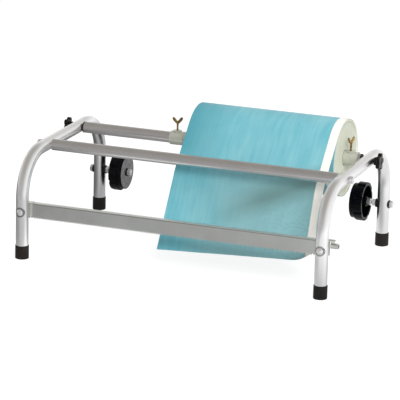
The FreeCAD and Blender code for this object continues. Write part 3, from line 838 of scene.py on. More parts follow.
def hexagon(angles: np.ndarray, across_flats: float) -> np.ndarray:
    """The radius of a hexagon: half its width over the cosine of the angle from the nearest flat's middle."""
    from_flat = np.mod(angles, math.pi / 3) - math.pi / 6
    return across_flats / 2 / np.cos(from_flat)


def thread(along: np.ndarray, angles: np.ndarray, crest: float, depth: float, pitch: float) -> np.ndarray:
    """The radius of a screw thread: the crest, less a wave that climbs one pitch in each turn."""
    phase = np.mod(along[:, None] / pitch - angles[None, :] / (2 * math.pi), 1.0)
    return crest - depth * np.abs(2 * phase - 1)


def round_profile(corners: Sequence[Tuple[float, float]], radius: float, steps: int) -> np.ndarray:
    """Round the inner corners of an open profile with short curves.

    Args:
        corners: the profile's corners, as pairs.
        radius: how far before and after a corner its curve starts, at most a third of each side.
        steps: how many points each curve has.

    Returns:
        The profile's points: at each corner a curve that is pulled by the corner itself.
    """
    corner = np.asarray(corners, dtype=float)
    before, middle, after = corner[:-2], corner[1:-1], corner[2:]
    back, ahead = before - middle, after - middle
    back_length = np.linalg.norm(back, axis=1, keepdims=True)
    ahead_length = np.linalg.norm(ahead, axis=1, keepdims=True)
    first = middle + back / back_length * np.minimum(radius, back_length / 3)
    last = middle + ahead / ahead_length * np.minimum(radius, ahead_length / 3)
    share = np.linspace(0.0, 1.0, steps)[None, :, None]
    curve = (1 - share) ** 2 * first[:, None] + 2 * share * (1 - share) * middle[:, None]
    curve = curve + share**2 * last[:, None]
    return np.concatenate([corner[:1], curve.reshape(-1, 2), corner[-1:]])


def shell(front: Grid, back: Grid) -> List[Surface]:
    """Close two matching grids into a thin sheet.

    Args:
        front: the points of one face.
        back: the points of the other.

    Returns:
        Both faces and the four rims between their edges.
    """
    rims = [np.stack([front[0], back[0]]), np.stack([front[-1], back[-1]])]
    rims += [np.stack([front[:, 0], back[:, 0]]), np.stack([front[:, -1], back[:, -1]])]
    return [Surface(grid) for grid in [front, back] + rims]


def normals_of(points: Grid) -> Grid:
    """The unit normal at each point of a grid, from the differences to its neighbours."""
    crossed = np.cross(np.gradient(points, axis=0), np.gradient(points, axis=1))
    return crossed / np.linalg.norm(crossed, axis=-1, keepdims=True)


# Sub-assemblies


@dataclass
class Stand:
    """The two bent side frames with their feet, the two bars and what bolts them together."""

    frames: Tuple[str, ...] = ("side_frame_left", "side_frame_right")
    bars: Tuple[str, ...] = ("front_bar", "roll_bar")
    feet: Tuple[str, ...] = ("foot_front_left", "foot_front_right", "foot_rear_left", "foot_rear_right")
    fasteners: Tuple[str, ...] = ("front_bar_plugs", "roll_bar_plugs", "front_bar_bolts", "front_bar_washers")
    dark_washers: str = "roll_bar_washers"

    def build(self) -> None:
        """Dress the construction's own pieces."""
        dress(FRAME_TUBE, *self.frames)
        dress(BAR_TUBE, *self.bars)
        dress(RUBBER, *self.feet)
        dress(ZINC, *self.fasteners)
        dress(DARK_WASHER, self.dark_washers)


@dataclass
class Cutter:
    """The toothed bar with its end brackets and bolts."""

    bar: str = "cutter_bar"
    brackets: Tuple[str, ...] = ("cutter_bracket_left", "cutter_bracket_right")
    saddle_washers: str = "cutter_washers"
    fasteners: Tuple[str, ...] = ("cutter_bolts", "cutter_nuts")

    def build(self) -> None:
        """Dress the construction's own pieces."""
        dress(CUTTER_STEEL, self.bar)
        dress(BRACKET_STEEL, *self.brackets)
        dress(DISC_STEEL, self.saddle_washers)
        dress(ZINC, *self.fasteners)


@dataclass
class TapeHubs:
    """The two tape hubs on the rear legs, with their threaded axle bolts."""

    height: float = 84 * MM
    inner_face: float = 240 * MM
    step_width: float = 9 * MM
    width: float = 26 * MM
    step_radius: float = 34.4 * MM
    drum_radius: float = 35.2 * MM
    edge: float = 0.9 * MM
    edge_steps: int = 5
    pad_rise: float = 2.8 * MM
    pad_count: int = 8
    pad_half_angle: float = math.radians(17.5)
    pad_edge: float = 0.03
    seat: float = 1.7 * MM
    disc_radius: float = 33 * MM
    web: float = 4.7 * MM
    cup_radius: float = 31.4 * MM
    boss_radius: float = 9.5 * MM
    bore_radius: float = 4.05 * MM
    drum_columns: int = 288
    bolt_radius: float = 4 * MM
    bolt_head_at: float = 313.6 * MM
    bolt_length: float = 82.7 * MM
    head_height: float = 5.3 * MM
    head_shares: Tuple[float, ...] = (1.0, 1.0, 0.93, 0.86, 0.0, 0.0)
    across_flats: float = 13 * MM
    chamfer: float = 0.8 * MM
    chamfer_slope: float = 1.8
    pitch: float = 1.25 * MM
    thread_depth: float = 0.45 * MM
    rows_per_turn: int = 7
    tip_shares: Span = (0.86, 0.72)
    tip_length: float = 0.8 * MM
    bolt_columns: int = 36

    def build(self) -> None:
        """Build the drums and the axle bolts and dress the rest."""
        for side in Side:
            self.drum(side)
        self.axle_bolts()
        dress(DISC_STEEL, "tape_hub_disc_left", "tape_hub_disc_right")
        dress(ZINC, "tape_axle_nuts")
        dress(DARK_WASHER, "tape_leg_pads", "tape_axle_washers")

    def drum(self, side: Side) -> None:
        """Build one drum: a rounded profile whose outer run swells at each pad.

        Args:
            side: which hub.
        """
        inner = [(self.seat, self.bore_radius), (self.seat, self.disc_radius), (0.0, self.disc_radius)]
        inner += [(0.0, self.step_radius), (self.step_width, self.step_radius)]
        outer = [(self.step_width, self.drum_radius), (self.width, self.drum_radius)]
        cup = [(self.width, self.cup_radius), (self.web, self.cup_radius), (self.web, self.boss_radius)]
        cup += [(self.width, self.boss_radius), (self.width, self.bore_radius)]
        along, radii = round_profile(inner + outer + cup, self.edge, self.edge_steps).T
        place = (side.value * self.inner_face, LEG_Y, self.height)
        lathe = Lathe(place, side.outwards, columns=self.drum_columns)
        share = self.pad_share(lathe.angles)[None, :]
        outside = smoothstep(self.step_radius, self.drum_radius - self.edge / 2, radii)[:, None]
        inset = smoothstep(self.step_width - self.edge / 4, self.step_width + self.edge, along)[:, None]
        swell = self.pad_rise * share * outside * inset * (radii[:, None] > self.step_radius)
        run = Surface(lathe.turn(along, radii[:, None] + swell), True)
        bore = Surface(lathe.turn((self.width, self.seat), (self.bore_radius, self.bore_radius)), True)
        body = "tape_hub_" + side.word
        drum = build_piece("tape_drum_" + side.word, [run, bore], [HUB_PLASTIC], body)
        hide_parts("tape_hub_drum_" + side.word)

    def pad_share(self, angles: np.ndarray) -> np.ndarray:
        """One on each pad and zero between, with a soft step at the pads' ends.

        Args:
            angles: the angles round the drum.

        Returns:
            The share at each angle, from its distance to the nearest pad's middle.
        """
        step = 2 * math.pi / self.pad_count
        from_middle = np.abs(np.mod(angles + step / 2, step) - step / 2)
        start, end = self.pad_half_angle - self.pad_edge, self.pad_half_angle + self.pad_edge
        return 1.0 - smoothstep(start, end, from_middle)

    def axle_bolts(self) -> None:
        """Build both axle bolts as one piece: a chamfered hexagon head and a threaded shank.

        The head is the lesser of a hexagon and a cone that narrows towards its top.
        """
        surfaces = []
        head_rows = self.head_height * np.array(self.head_shares)
        cone = self.across_flats / math.sqrt(3) - self.chamfer
        cone = cone + (self.head_height - head_rows) * self.chamfer_slope
        row_count = int(self.bolt_length / self.pitch * self.rows_per_turn)
        rows = -np.linspace(0.0, self.bolt_length - self.tip_length, row_count)
        shank_tip, end_tip = self.tip_shares
        for side in Side:
            place = (side.value * self.bolt_head_at, LEG_Y, self.height)
            lathe = Lathe(place, side.outwards, columns=self.bolt_columns)
            head = np.minimum(hexagon(lathe.angles, self.across_flats)[None, :], cone[:, None])
            head[0] = 0.0
            head[-1] = self.bolt_radius
            shank = thread(rows, lathe.angles, self.bolt_radius, self.thread_depth, self.pitch)
            shank[0] = self.bolt_radius
            shank[-1] = self.bolt_radius * shank_tip
            end = np.array([self.bolt_radius * end_tip, 0.0])
            end = np.broadcast_to(end[:, None], (2, lathe.columns))
            along = np.concatenate([head_rows, rows, np.full(2, -self.bolt_length)])
            surfaces.append(Surface(lathe.turn(along, np.concatenate([head, shank, end])), True))
        bolts = build_piece("axle_screws", surfaces, [ZINC], "stand")
        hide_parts("tape_axle_bolts")


@dataclass
class StarKnobs:
    """The lobed knobs on the ends of the roll bar, with their studs."""

    start: float = 312.3 * MM
    boss_radius: float = 8 * MM
    boss_length: float = 6.2 * MM
    boss_edge: float = 0.5 * MM
    head: float = 7.5 * MM
    engagement: float = 3.7 * MM
    core_radius: float = 12 * MM
    core_share: float = 0.97
    lobe_radius: float = 5.2 * MM
    lobe_circle: float = 11.3 * MM
    lobes: int = 5
    first_lobes: Dict[Side, float] = field(
        default_factory=lambda: {Side.LEFT: math.radians(100.0), Side.RIGHT: math.radians(-90.0)}
    )
    blend_power: float = 22.0
    blend_share: float = 0.997
    rounding: float = 1.3 * MM
    rounding_rows: int = 7
    cap_radius: float = 6 * MM
    cap_depth: float = 0.8 * MM
    dimple_share: float = 0.6
    dimple_rise: float = 0.16 * MM
    stud_radius: float = 4 * MM
    columns: int = 240

    def build(self) -> None:
        """Build both knobs and dress their studs."""
        for side in Side:
            self.knob(side)
        dress(ZINC, "star_knob_stud_left", "star_knob_stud_right")

    def outline(self, side: Side, angles: np.ndarray) -> np.ndarray:
        """The knob's radius by angle: the rounded greatest of its core and its lobes.

        Args:
            side: which knob.
            angles: the angles round it.

        Returns:
            The radii. A lobe is a circle about a point off the axis, so a ray meets it at the point's reach
            along the ray plus the root of the lobe's squared radius less the point's squared distance from
            the ray. Core and lobe are blended as the root of a high power of their sum of powers.
        """
        step = 2 * math.pi / self.lobes
        off = np.mod(angles - self.first_lobes[side] + step / 2, step) - step / 2
        beside = self.lobe_circle * np.sin(off)
        rest = np.clip(self.lobe_radius**2 - beside**2, 0.0, None)
        lobe = np.where(np.cos(off) > 0, self.lobe_circle * np.cos(off) + np.sqrt(rest), 0.0)
        power = self.blend_power
        return ((self.core_radius * self.core_share) ** power + lobe**power) ** (1 / power) * self.blend_share

    def knob(self, side: Side) -> None:
        """Build one knob as one turned grid, with the stud's bore in its boss.

        The head's two edges are quarter circles: they move inwards by the rounding less its sine or cosine.

        Args:
            side: which knob.
        """
        lathe = Lathe((side.value * self.start, ROLL_Y, BAR_Z), side.outwards, columns=self.columns)
        quarter = np.linspace(0.0, math.pi / 2, self.rounding_rows)
        low, high = self.boss_length, self.boss_length + self.head
        rising = low + self.rounding * (1 - np.cos(quarter))
        falling = high - self.rounding * (1 - np.sin(quarter))
        inset = np.concatenate([1 - np.sin(quarter), 1 - np.cos(quarter)]) * self.rounding
        rim_radii = self.outline(side, lathe.angles)[None, :] - inset[:, None]
        depth = low + self.engagement
        start = [(depth, 0.0), (depth, self.stud_radius), (0.0, self.stud_radius)]
        start += [(0.0, self.boss_radius - self.boss_edge), (self.boss_edge, self.boss_radius)]
        start = np.array(start + [(low, self.boss_radius)])
        edge, bottom = self.cap_depth / 2, high - self.cap_depth
        cap = [(high, self.cap_radius + edge), (high - edge, self.cap_radius)]
        cap += [(bottom, self.cap_radius - edge / 2), (bottom, self.cap_radius * self.dimple_share)]
        cap = np.array(cap + [(bottom + self.dimple_rise, 0.0)])
        along = np.concatenate([start[:, 0], rising, falling, cap[:, 0]])
        ring = np.ones(lathe.columns)
        radii = np.concatenate([start[:, 1:] * ring, rim_radii, cap[:, 1:] * ring])
        run = Surface(lathe.turn(along, radii), True)
        name, body = "lobed_knob_" + side.word, "knob_" + side.word
        knob = build_piece(name, [run], [KNOB_PLASTIC], body)
        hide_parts("star_knob_" + side.word)


@dataclass
class RollHolders:
    """The sleeves that carry the roll on its bar, with their wing bolts."""

    screws: Dict[Side, float] = field(default_factory=lambda: {Side.LEFT: -90.4 * MM, Side.RIGHT: 264.4 * MM})
    turns: Dict[Side, float] = field(
        default_factory=lambda: {Side.LEFT: math.radians(16.0), Side.RIGHT: math.radians(68.0)}
    )
    shank_radius: float = 2 * MM
    shank_start: float = BAR_Z + 11.3 * MM
    pitch: float = 0.8 * MM
    thread_depth: float = 0.3 * MM
    rows_per_turn: int = 7
    hub_radius: float = 3.2 * MM
    hub_height: float = 5 * MM
    hub_rows: int = 14
    dome_rows: int = 6
    columns: int = 32
    wings_z: float = BAR_Z + 38.6 * MM
    wing_reach: float = 7.4 * MM
    tip_reach: float = 1.27
    fork_rounding: float = 0.22
    half_width: float = 3.1 * MM
    middle_width: float = 0.9
    half_thickness: float = 1.5 * MM
    end_power: float = 8.0
    side_power: float = 0.6
    wing_rows: int = 61
    wing_columns: int = 20

    def build(self) -> None:
        """Dress the sleeves and build both wing bolts."""
        dress(HOLDER_METAL, "core_holder_left", "core_holder_right")
        for side in Side:
            self.wing_bolt(side)

    def wing_bolt(self, side: Side) -> None:
        """Build one wing bolt: a threaded shank that widens into a hub, and a forked pair of wings.

        The hub widens by the square of its height and closes over its top as a quarter circle.

        Args:
            side: which wing bolt.
        """
        lathe = Lathe((self.screws[side], ROLL_Y, 0.0), (0, 0, 1), (1, 0, 0), columns=self.columns)
        hub_top = self.wings_z - self.wing_reach
        hub_start = hub_top - self.hub_height
        turns = (hub_start - self.shank_start) / self.pitch
        rows = np.linspace(self.shank_start, hub_start, int(turns * self.rows_per_turn))
        shank = thread(rows, lathe.angles, self.shank_radius, self.thread_depth, self.pitch)
        shank[-1] = self.shank_radius
        share = np.linspace(0.0, 1.0, self.hub_rows)[1:]
        widening = self.shank_radius + (self.hub_radius - self.shank_radius) * share**2
        dome = np.linspace(0.0, math.pi / 2, self.dome_rows)[1:]
        closing = hub_top + self.hub_radius / 2 * np.sin(dome)
        hub = np.concatenate([widening, self.hub_radius * np.cos(dome)])
        along = np.concatenate([[self.shank_start], rows, hub_start + share * self.hub_height, closing])
        radii = np.concatenate([np.zeros((1, lathe.columns)), shank, hub[:, None] * np.ones(lathe.columns)])
        surfaces = [Surface(lathe.turn(along, radii), True), Surface(self.wings(side), True)]
        name, body = "wing_screw_" + side.word, "wing_" + side.word
        bolt = build_piece(name, surfaces, [WING_BRASS], body, crease=50.0)
        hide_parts("wing_bolt_" + side.word)

    def wings(self, side: Side) -> Grid:
        """Carry an oval along a forked line from one wing's tip over the hub to the other's.

        Args:
            side: which wing bolt.

        Returns:
            The grid. The line's height is the root of its squared distance from the middle plus a small
            square that rounds the fork; the oval grows a little towards the tips and closes at both ends as
            the root of one less a high power of the distance.
        """
        share = np.linspace(-1.0, 1.0, self.wing_rows)
        angles = np.linspace(0.0, 2 * math.pi, self.wing_columns, endpoint=False)
        reach = self.tip_reach * share
        low = math.sqrt(self.fork_rounding)
        height = np.sqrt(reach**2 + self.fork_rounding) - low
        height = height / (math.sqrt(1 + self.fork_rounding) - low)
        line = np.stack([reach * self.wing_reach, self.wings_z + (height - 1) * self.wing_reach], -1)
        heading = np.gradient(line, axis=0)
        heading /= np.linalg.norm(heading, axis=-1, keepdims=True)
        aside = np.stack([heading[:, 1], -heading[:, 0]], -1)
        close = np.sqrt(np.clip(1 - np.abs(share) ** self.end_power, 0.0, 1.0))
        width = self.half_width * (self.middle_width + (1 - self.middle_width) * np.abs(share)) * close
        thick = self.half_thickness * close
        middle = line[:, None, :] + (width[:, None] * np.cos(angles))[..., None] * aside[:, None, :]
        deep = thick[:, None] * np.sign(np.sin(angles)) * np.abs(np.sin(angles)) ** self.side_power
        turn = self.turns[side]
        x = self.screws[side] + middle[..., 0] * math.cos(turn) - deep * math.sin(turn)
        y = ROLL_Y + middle[..., 0] * math.sin(turn) + deep * math.cos(turn)
        return np.stack([x, y, middle[..., 1]], -1)


@dataclass
class PaperRoll:
    """The wound paper on its core, with the masking tape on its right edge."""

    seat_depth: float = 0.35 * MM
    seat_step: float = 0.01 * MM
    edge_round: float = 0.5 * MM
    edge_rows: int = 5
    recess: float = 1.7 * MM
    recess_span: Span = (RIM_RADIUS - 1.2 * MM, RIM_RADIUS + 0.6 * MM)
    rim_fade: Span = (72 * MM, 74.4 * MM)
    core_fade: float = 3 * MM
    layers_out: float = 0.16 * MM
    layer_waves: Tuple[Tuple[float, ...], ...] = (
        (1.0, 1.9, 1.0, 0.7),
        (0.7, 0.83, 2.0, 0.0),
        (0.5, 3.1, -1.0, 0.0),
    )
    run_margin: float = 2 * MM
    run_rows: Tuple[int, int] = (12, 4)
    columns: int = 432
    ring_rows: int = 100
    end_phases: Dict[float, float] = field(default_factory=lambda: {ROLL_LEFT: 0.4, ROLL_RIGHT: 1.7})
    tape_margin: float = 0.002

    def build(self) -> None:
        """Build the wound roll and dress its core and tape."""
        self.wound()
        dress(CARDBOARD, "core_tube")
        dress(MASKING_TAPE, "roll_tape_band")

    def sunk(self, radii: np.ndarray, angles: np.ndarray, phase: float) -> np.ndarray:
        """How far the wound layers lie inside the roll's end.

        Args:
            radii: the radius of each row.
            angles: the angle of each column.
            phase: sets one end's layers apart from the other's.

        Returns:
            The depths: a cone from the rim to the core or a flat recess, whichever is deeper, plus three
            waves of the radius, of which one drifts with the angle, that fade out at both rims. Each wave
            has a height, a rate for each millimetre, a share of the phase and a drift.
        """
        r, a = radii[:, None] / MM, angles[None, :]
        cone = DISH_DEPTH * np.clip((RIM_RADIUS - radii) / (RIM_RADIUS - CORE_RADIUS), 0.0, 1.0)
        step = self.recess * (1 - smoothstep(*self.recess_span, radii))
        waves = sum(
            height * np.sin(r * rate + start * phase + drift * np.sin(a))
            for height, rate, start, drift in self.layer_waves
        )
        highest = sum(wave[0] for wave in self.layer_waves)
        fade = smoothstep(CORE_RADIUS, CORE_RADIUS + self.core_fade, radii)
        fade = fade * (1 - smoothstep(*self.rim_fade, radii))
        return np.maximum(cone, step)[:, None] + self.layers_out * np.abs(waves) * fade[:, None] / highest

    def taped(self, angles: np.ndarray) -> np.ndarray:
        """Whether masking tape covers each angle: it lies within one of the tape's arcs or their margin."""
        arcs = np.array(TAPE_ARCS) + np.array([-self.tape_margin, self.tape_margin])
        return np.any((angles >= arcs[:, :1]) & (angles <= arcs[:, 1:]), axis=0)

    def wound(self) -> None:
        """Build the wound paper: outer run with the tape's seat, two sunken ends and the bore."""
        lathe = Lathe((0.0, ROLL_Y, BAR_Z), (1, 0, 0), (0, 1, 0), columns=self.columns)
        seat_left = ROLL_RIGHT - TAPE_WIDTH
        quarter = np.linspace(0.0, math.pi / 2, self.edge_rows)
        bend_out = self.edge_round * (1 - np.cos(quarter))
        bend_radii = ROLL_RADIUS - self.edge_round * (1 - np.sin(quarter))
        paper_rows, tape_rows = self.run_rows
        run = [np.linspace(ROLL_LEFT + self.run_margin, seat_left - self.seat_step, paper_rows), [seat_left]]
        run += [np.linspace(seat_left + self.run_margin, ROLL_RIGHT - self.run_margin, tape_rows)]
        run = np.concatenate(run)
        along = np.concatenate([ROLL_LEFT + bend_out, run, ROLL_RIGHT - bend_out[::-1]])
        radii = np.concatenate([bend_radii, np.full(len(run), ROLL_RADIUS), bend_radii[::-1]])
        taped = self.taped(lathe.angles)
        seat = self.seat_depth * (along >= seat_left - self.seat_step / 2)[:, None] * taped[None, :]
        bore_ends = (ROLL_LEFT + DISH_DEPTH, ROLL_RIGHT - DISH_DEPTH)
        surfaces = [Surface(lathe.turn(along, radii[:, None] - seat), True)]
        surfaces.append(Surface(lathe.turn(bore_ends, (CORE_RADIUS, CORE_RADIUS)), True))
        rings = np.linspace(CORE_RADIUS, ROLL_RADIUS - self.edge_round, self.ring_rows)
        for place, phase in self.end_phases.items():
            reach = place - np.sign(place) * self.sunk(rings, lathe.angles, phase)
            end_radii = np.broadcast_to(rings[:, None], reach.shape).copy()
            if place == ROLL_RIGHT:
                end_radii[-1] -= self.seat_depth * taped
            surfaces.append(Surface(lathe.turn(reach, end_radii), True, 1))
        finishes = [BLUE_PAPER, WOUND_END]
        roll = build_piece("roll_of_paper", surfaces, finishes, "paper_roll_body", crease=60.0)
        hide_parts("paper_roll")


@dataclass(frozen=True)
class Crease:
    """One fine crease of the hanging sheet, in millimetres.

    Args:
        x: the X place of its middle.
        run: that middle's distance from the roll along the sheet.
        slant: its angle from level, in degrees.
        length: how far it reaches to either end.
        rise: how far it stands out; less than zero for a dent.
        rounding: how round its ridge is.
        reach: how far it fades out to the sides.
    """

    x: float
    run: float
    slant: float
    length: float
    rise: float
    rounding: float = 0.8
    reach: float = 3.5

    def heights(self, right: np.ndarray, down: np.ndarray) -> np.ndarray:
        """How far the crease stands out at the given places.

        Args:
            right: the X place of each point.
            down: its distance from the roll along the sheet.

        Returns:
            The heights. They fall off from the crease's line as the exponential of the rounded distance, and
            towards its ends as a bell curve.
        """
        slant = math.radians(self.slant)
        off_x, off_run = right - self.x, down - self.run
        beside = off_x * math.sin(slant) + off_run * math.cos(slant)
        along = off_x * math.cos(slant) - off_run * math.sin(slant)
        sideways = np.exp(-np.hypot(beside, self.rounding) / self.reach)
        return self.rise * sideways * np.exp(-((along / self.length) ** 2))


@dataclass(frozen=True)
class Wave:
    """One long wave of the hanging sheet, in millimetres.

    Args:
        rise: how far it stands out.
        across: how far it runs to the right for each radian.
        down: how far it runs down for each radian; less than zero for the other way.
        start: its phase in radians at X zero, where the sheet leaves the roll.
    """

    rise: float
    across: float
    down: float
    start: float

    def heights(self, right: np.ndarray, down: np.ndarray) -> np.ndarray:
        """How far the wave stands out at the given X places and distances from the roll."""
        return self.rise * np.sin(right / self.across + down / self.down + self.start)


@dataclass
class HangingSheet:
    """The paper that hangs from the roll behind the cutter, with its tape and its curled corner."""

    first_run: float = 92 * MM
    bend_radius: float = 110 * MM
    left_angle: float = math.radians(57.5)
    right_angle: float = math.radians(68.0)
    left_bottom: float = 35 * MM
    right_bottom: float = 41 * MM
    lift: float = 0.85 * MM
    start_lift: float = 0.12 * MM
    lift_run: float = 60 * MM
    thickness: float = 0.3 * MM
    thin_start: float = 0.3
    tape_thickness: float = 0.25 * MM
    tape_thin_start: float = 0.25
    tape_gap: float = 0.02 * MM
    thicken_run: float = 10 * MM
    waves: Tuple[Wave, ...] = (Wave(0.5, 31.0, 90.0, 0.0), Wave(0.3, 17.0, -60.0, 1.0))
    waves_from: Span = (80 * MM, 160 * MM)
    fine_creases: Tuple[Crease, ...] = (
        Crease(150, 168, 62, 26, 0.8), Crease(172, 150, 48, 20, -0.6), Crease(186, 178, 71, 30, 1.0),
        Crease(197, 160, 55, 22, -0.9), Crease(205, 186, 66, 26, 1.1), Crease(214, 170, 118, 16, 0.6),
        Crease(222, 152, 60, 24, -0.8), Crease(229, 182, 52, 18, 0.8),
    )
    creases_from: Span = (90 * MM, 120 * MM)
    curl_from: float = 203 * MM
    curl_height: float = 33 * MM
    curl_radius: float = 10 * MM
    rows: int = 190
    columns: int = 166

    def build(self) -> None:
        x = np.linspace(ROLL_LEFT, ROLL_RIGHT, self.columns)
        across, share = np.meshgrid(x, np.linspace(0.0, 1.0, self.rows), indexing="xy")
        middle, run = self.middle(across, share)
        front_way = normals_of(middle)
        thicker = smoothstep(0.0, self.thicken_run, run)
        half = self.thickness / 2 * (self.thin_start + (1 - self.thin_start) * thicker)[..., None]
        faces = shell(middle + front_way * half, middle - front_way * half)
        sheet = build_piece("hanging_paper", faces, [HUNG_PAPER], "stand", crease=60.0)
        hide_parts("paper_sheet")
        part = (slice(None), slice(int(np.searchsorted(x, ROLL_RIGHT - TAPE_WIDTH)), None))
        swell = self.tape_thin_start + (1 - self.tape_thin_start) * thicker[part]
        low = (middle + front_way * half)[part] + front_way[part] * self.tape_gap
        high = low + front_way[part] * (self.tape_thickness * swell)[..., None]
        tape = build_piece("hanging_paper_tape", shell(high, low), [MASKING_TAPE], "stand")
        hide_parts("sheet_tape_strip")

    def middle(self, x: np.ndarray, share: np.ndarray) -> Tuple[Grid, np.ndarray]:
        """The sheet's middle surface.

        Args:
            x: the X place of each point.
            share: how far down the sheet each point lies, from 0 to 1.

        Returns:
            The points and their distance from the roll along the sheet. The sheet leaves the roll straight,
            bends once about a level axis and runs straight on to its lower edge; then waves, creases and the
            curl of its corner are added.
        """
        width = (x - ROLL_LEFT) / (ROLL_RIGHT - ROLL_LEFT)
        hang = self.left_angle + width * (self.right_angle - self.left_angle)
        bottom = self.left_bottom + width * (self.right_bottom - self.left_bottom)
        arc = self.bend_radius * (hang - LEAVE_ANGLE)
        touch = ROLL_RADIUS + self.lift
        leave_sin, leave_cos = math.sin(LEAVE_ANGLE), math.cos(LEAVE_ANGLE)
        start_z = BAR_Z + touch * leave_cos
        bend_z = start_z - self.first_run * leave_sin - self.bend_radius * (leave_cos - np.cos(hang))
        last = (bend_z - bottom) / np.sin(hang)
        run = share * (self.first_run + arc + last)
        on_first = np.minimum(run, self.first_run)
        angle = LEAVE_ANGLE + np.clip((run - self.first_run) / self.bend_radius, 0.0, hang - LEAVE_ANGLE)
        on_last = np.clip(run - self.first_run - arc, 0.0, None)
        y = ROLL_Y - touch * leave_sin - on_first * leave_cos
        y = y - self.bend_radius * (np.sin(angle) - leave_sin) - on_last * np.cos(hang)
        z = start_z - on_first * leave_sin
        z = z - self.bend_radius * (leave_cos - np.cos(angle)) - on_last * np.sin(hang)
        front = np.stack([np.zeros_like(x), -np.sin(angle), np.cos(angle)], -1)
        sink = (self.lift - self.start_lift) * (1 - smoothstep(0.0, self.lift_run, run))
        height = self.creases(x, run) - sink
        points = np.stack([x, y, z], -1) + front * height[..., None]
        return self.curled(points, x, hang, self.first_run + arc + last - run, front), run

    def creases(self, x: np.ndarray, run: np.ndarray) -> np.ndarray:
        """How far the sheet stands out: long waves, and fine slanting creases near its lower right.

        Args:
            x: the X place of each point.
            run: its distance from the roll along the sheet.

        Returns:
            The heights.
        """
        places = (x / MM, run / MM)
        waves = sum(wave.heights(*places) for wave in self.waves) * smoothstep(*self.waves_from, run)
        lines = sum(crease.heights(*places) for crease in self.fine_creases)
        return MM * (waves + lines * smoothstep(*self.creases_from, run))

    def curled(self, points: Grid, x: np.ndarray, hang: np.ndarray, above: np.ndarray, front: Grid) -> Grid:
        """Roll the lower right corner backwards about a slanting line.

        Args:
            points: the sheet's points.
            x: the X place of each point before waves and creases.
            hang: the angle at which the sheet hangs there.
            above: its distance from the lower edge along the sheet.
            front: the way out of the sheet's front.

        Returns:
            The points. One that lies past the line goes round a cylinder instead: its distance becomes the
            radius times the sine of the rolled angle, and it moves back by the radius less the radius times
            the cosine.
        """
        width = ROLL_RIGHT - self.curl_from
        slope = math.hypot(self.curl_height, width)
        past = np.clip(((x - self.curl_from) * self.curl_height - above * width) / slope, 0.0, None)
        rolled = past / self.curl_radius
        down = np.stack([np.zeros_like(x), -np.cos(hang), -np.sin(hang)], -1)
        way = down * (width / slope) + np.array([1.0, 0.0, 0.0]) * (self.curl_height / slope)
        shorter = self.curl_radius * np.sin(rolled) - past
        back = self.curl_radius * (1 - np.cos(rolled))
        return points + way * shorter[..., None] - front * back[..., None]


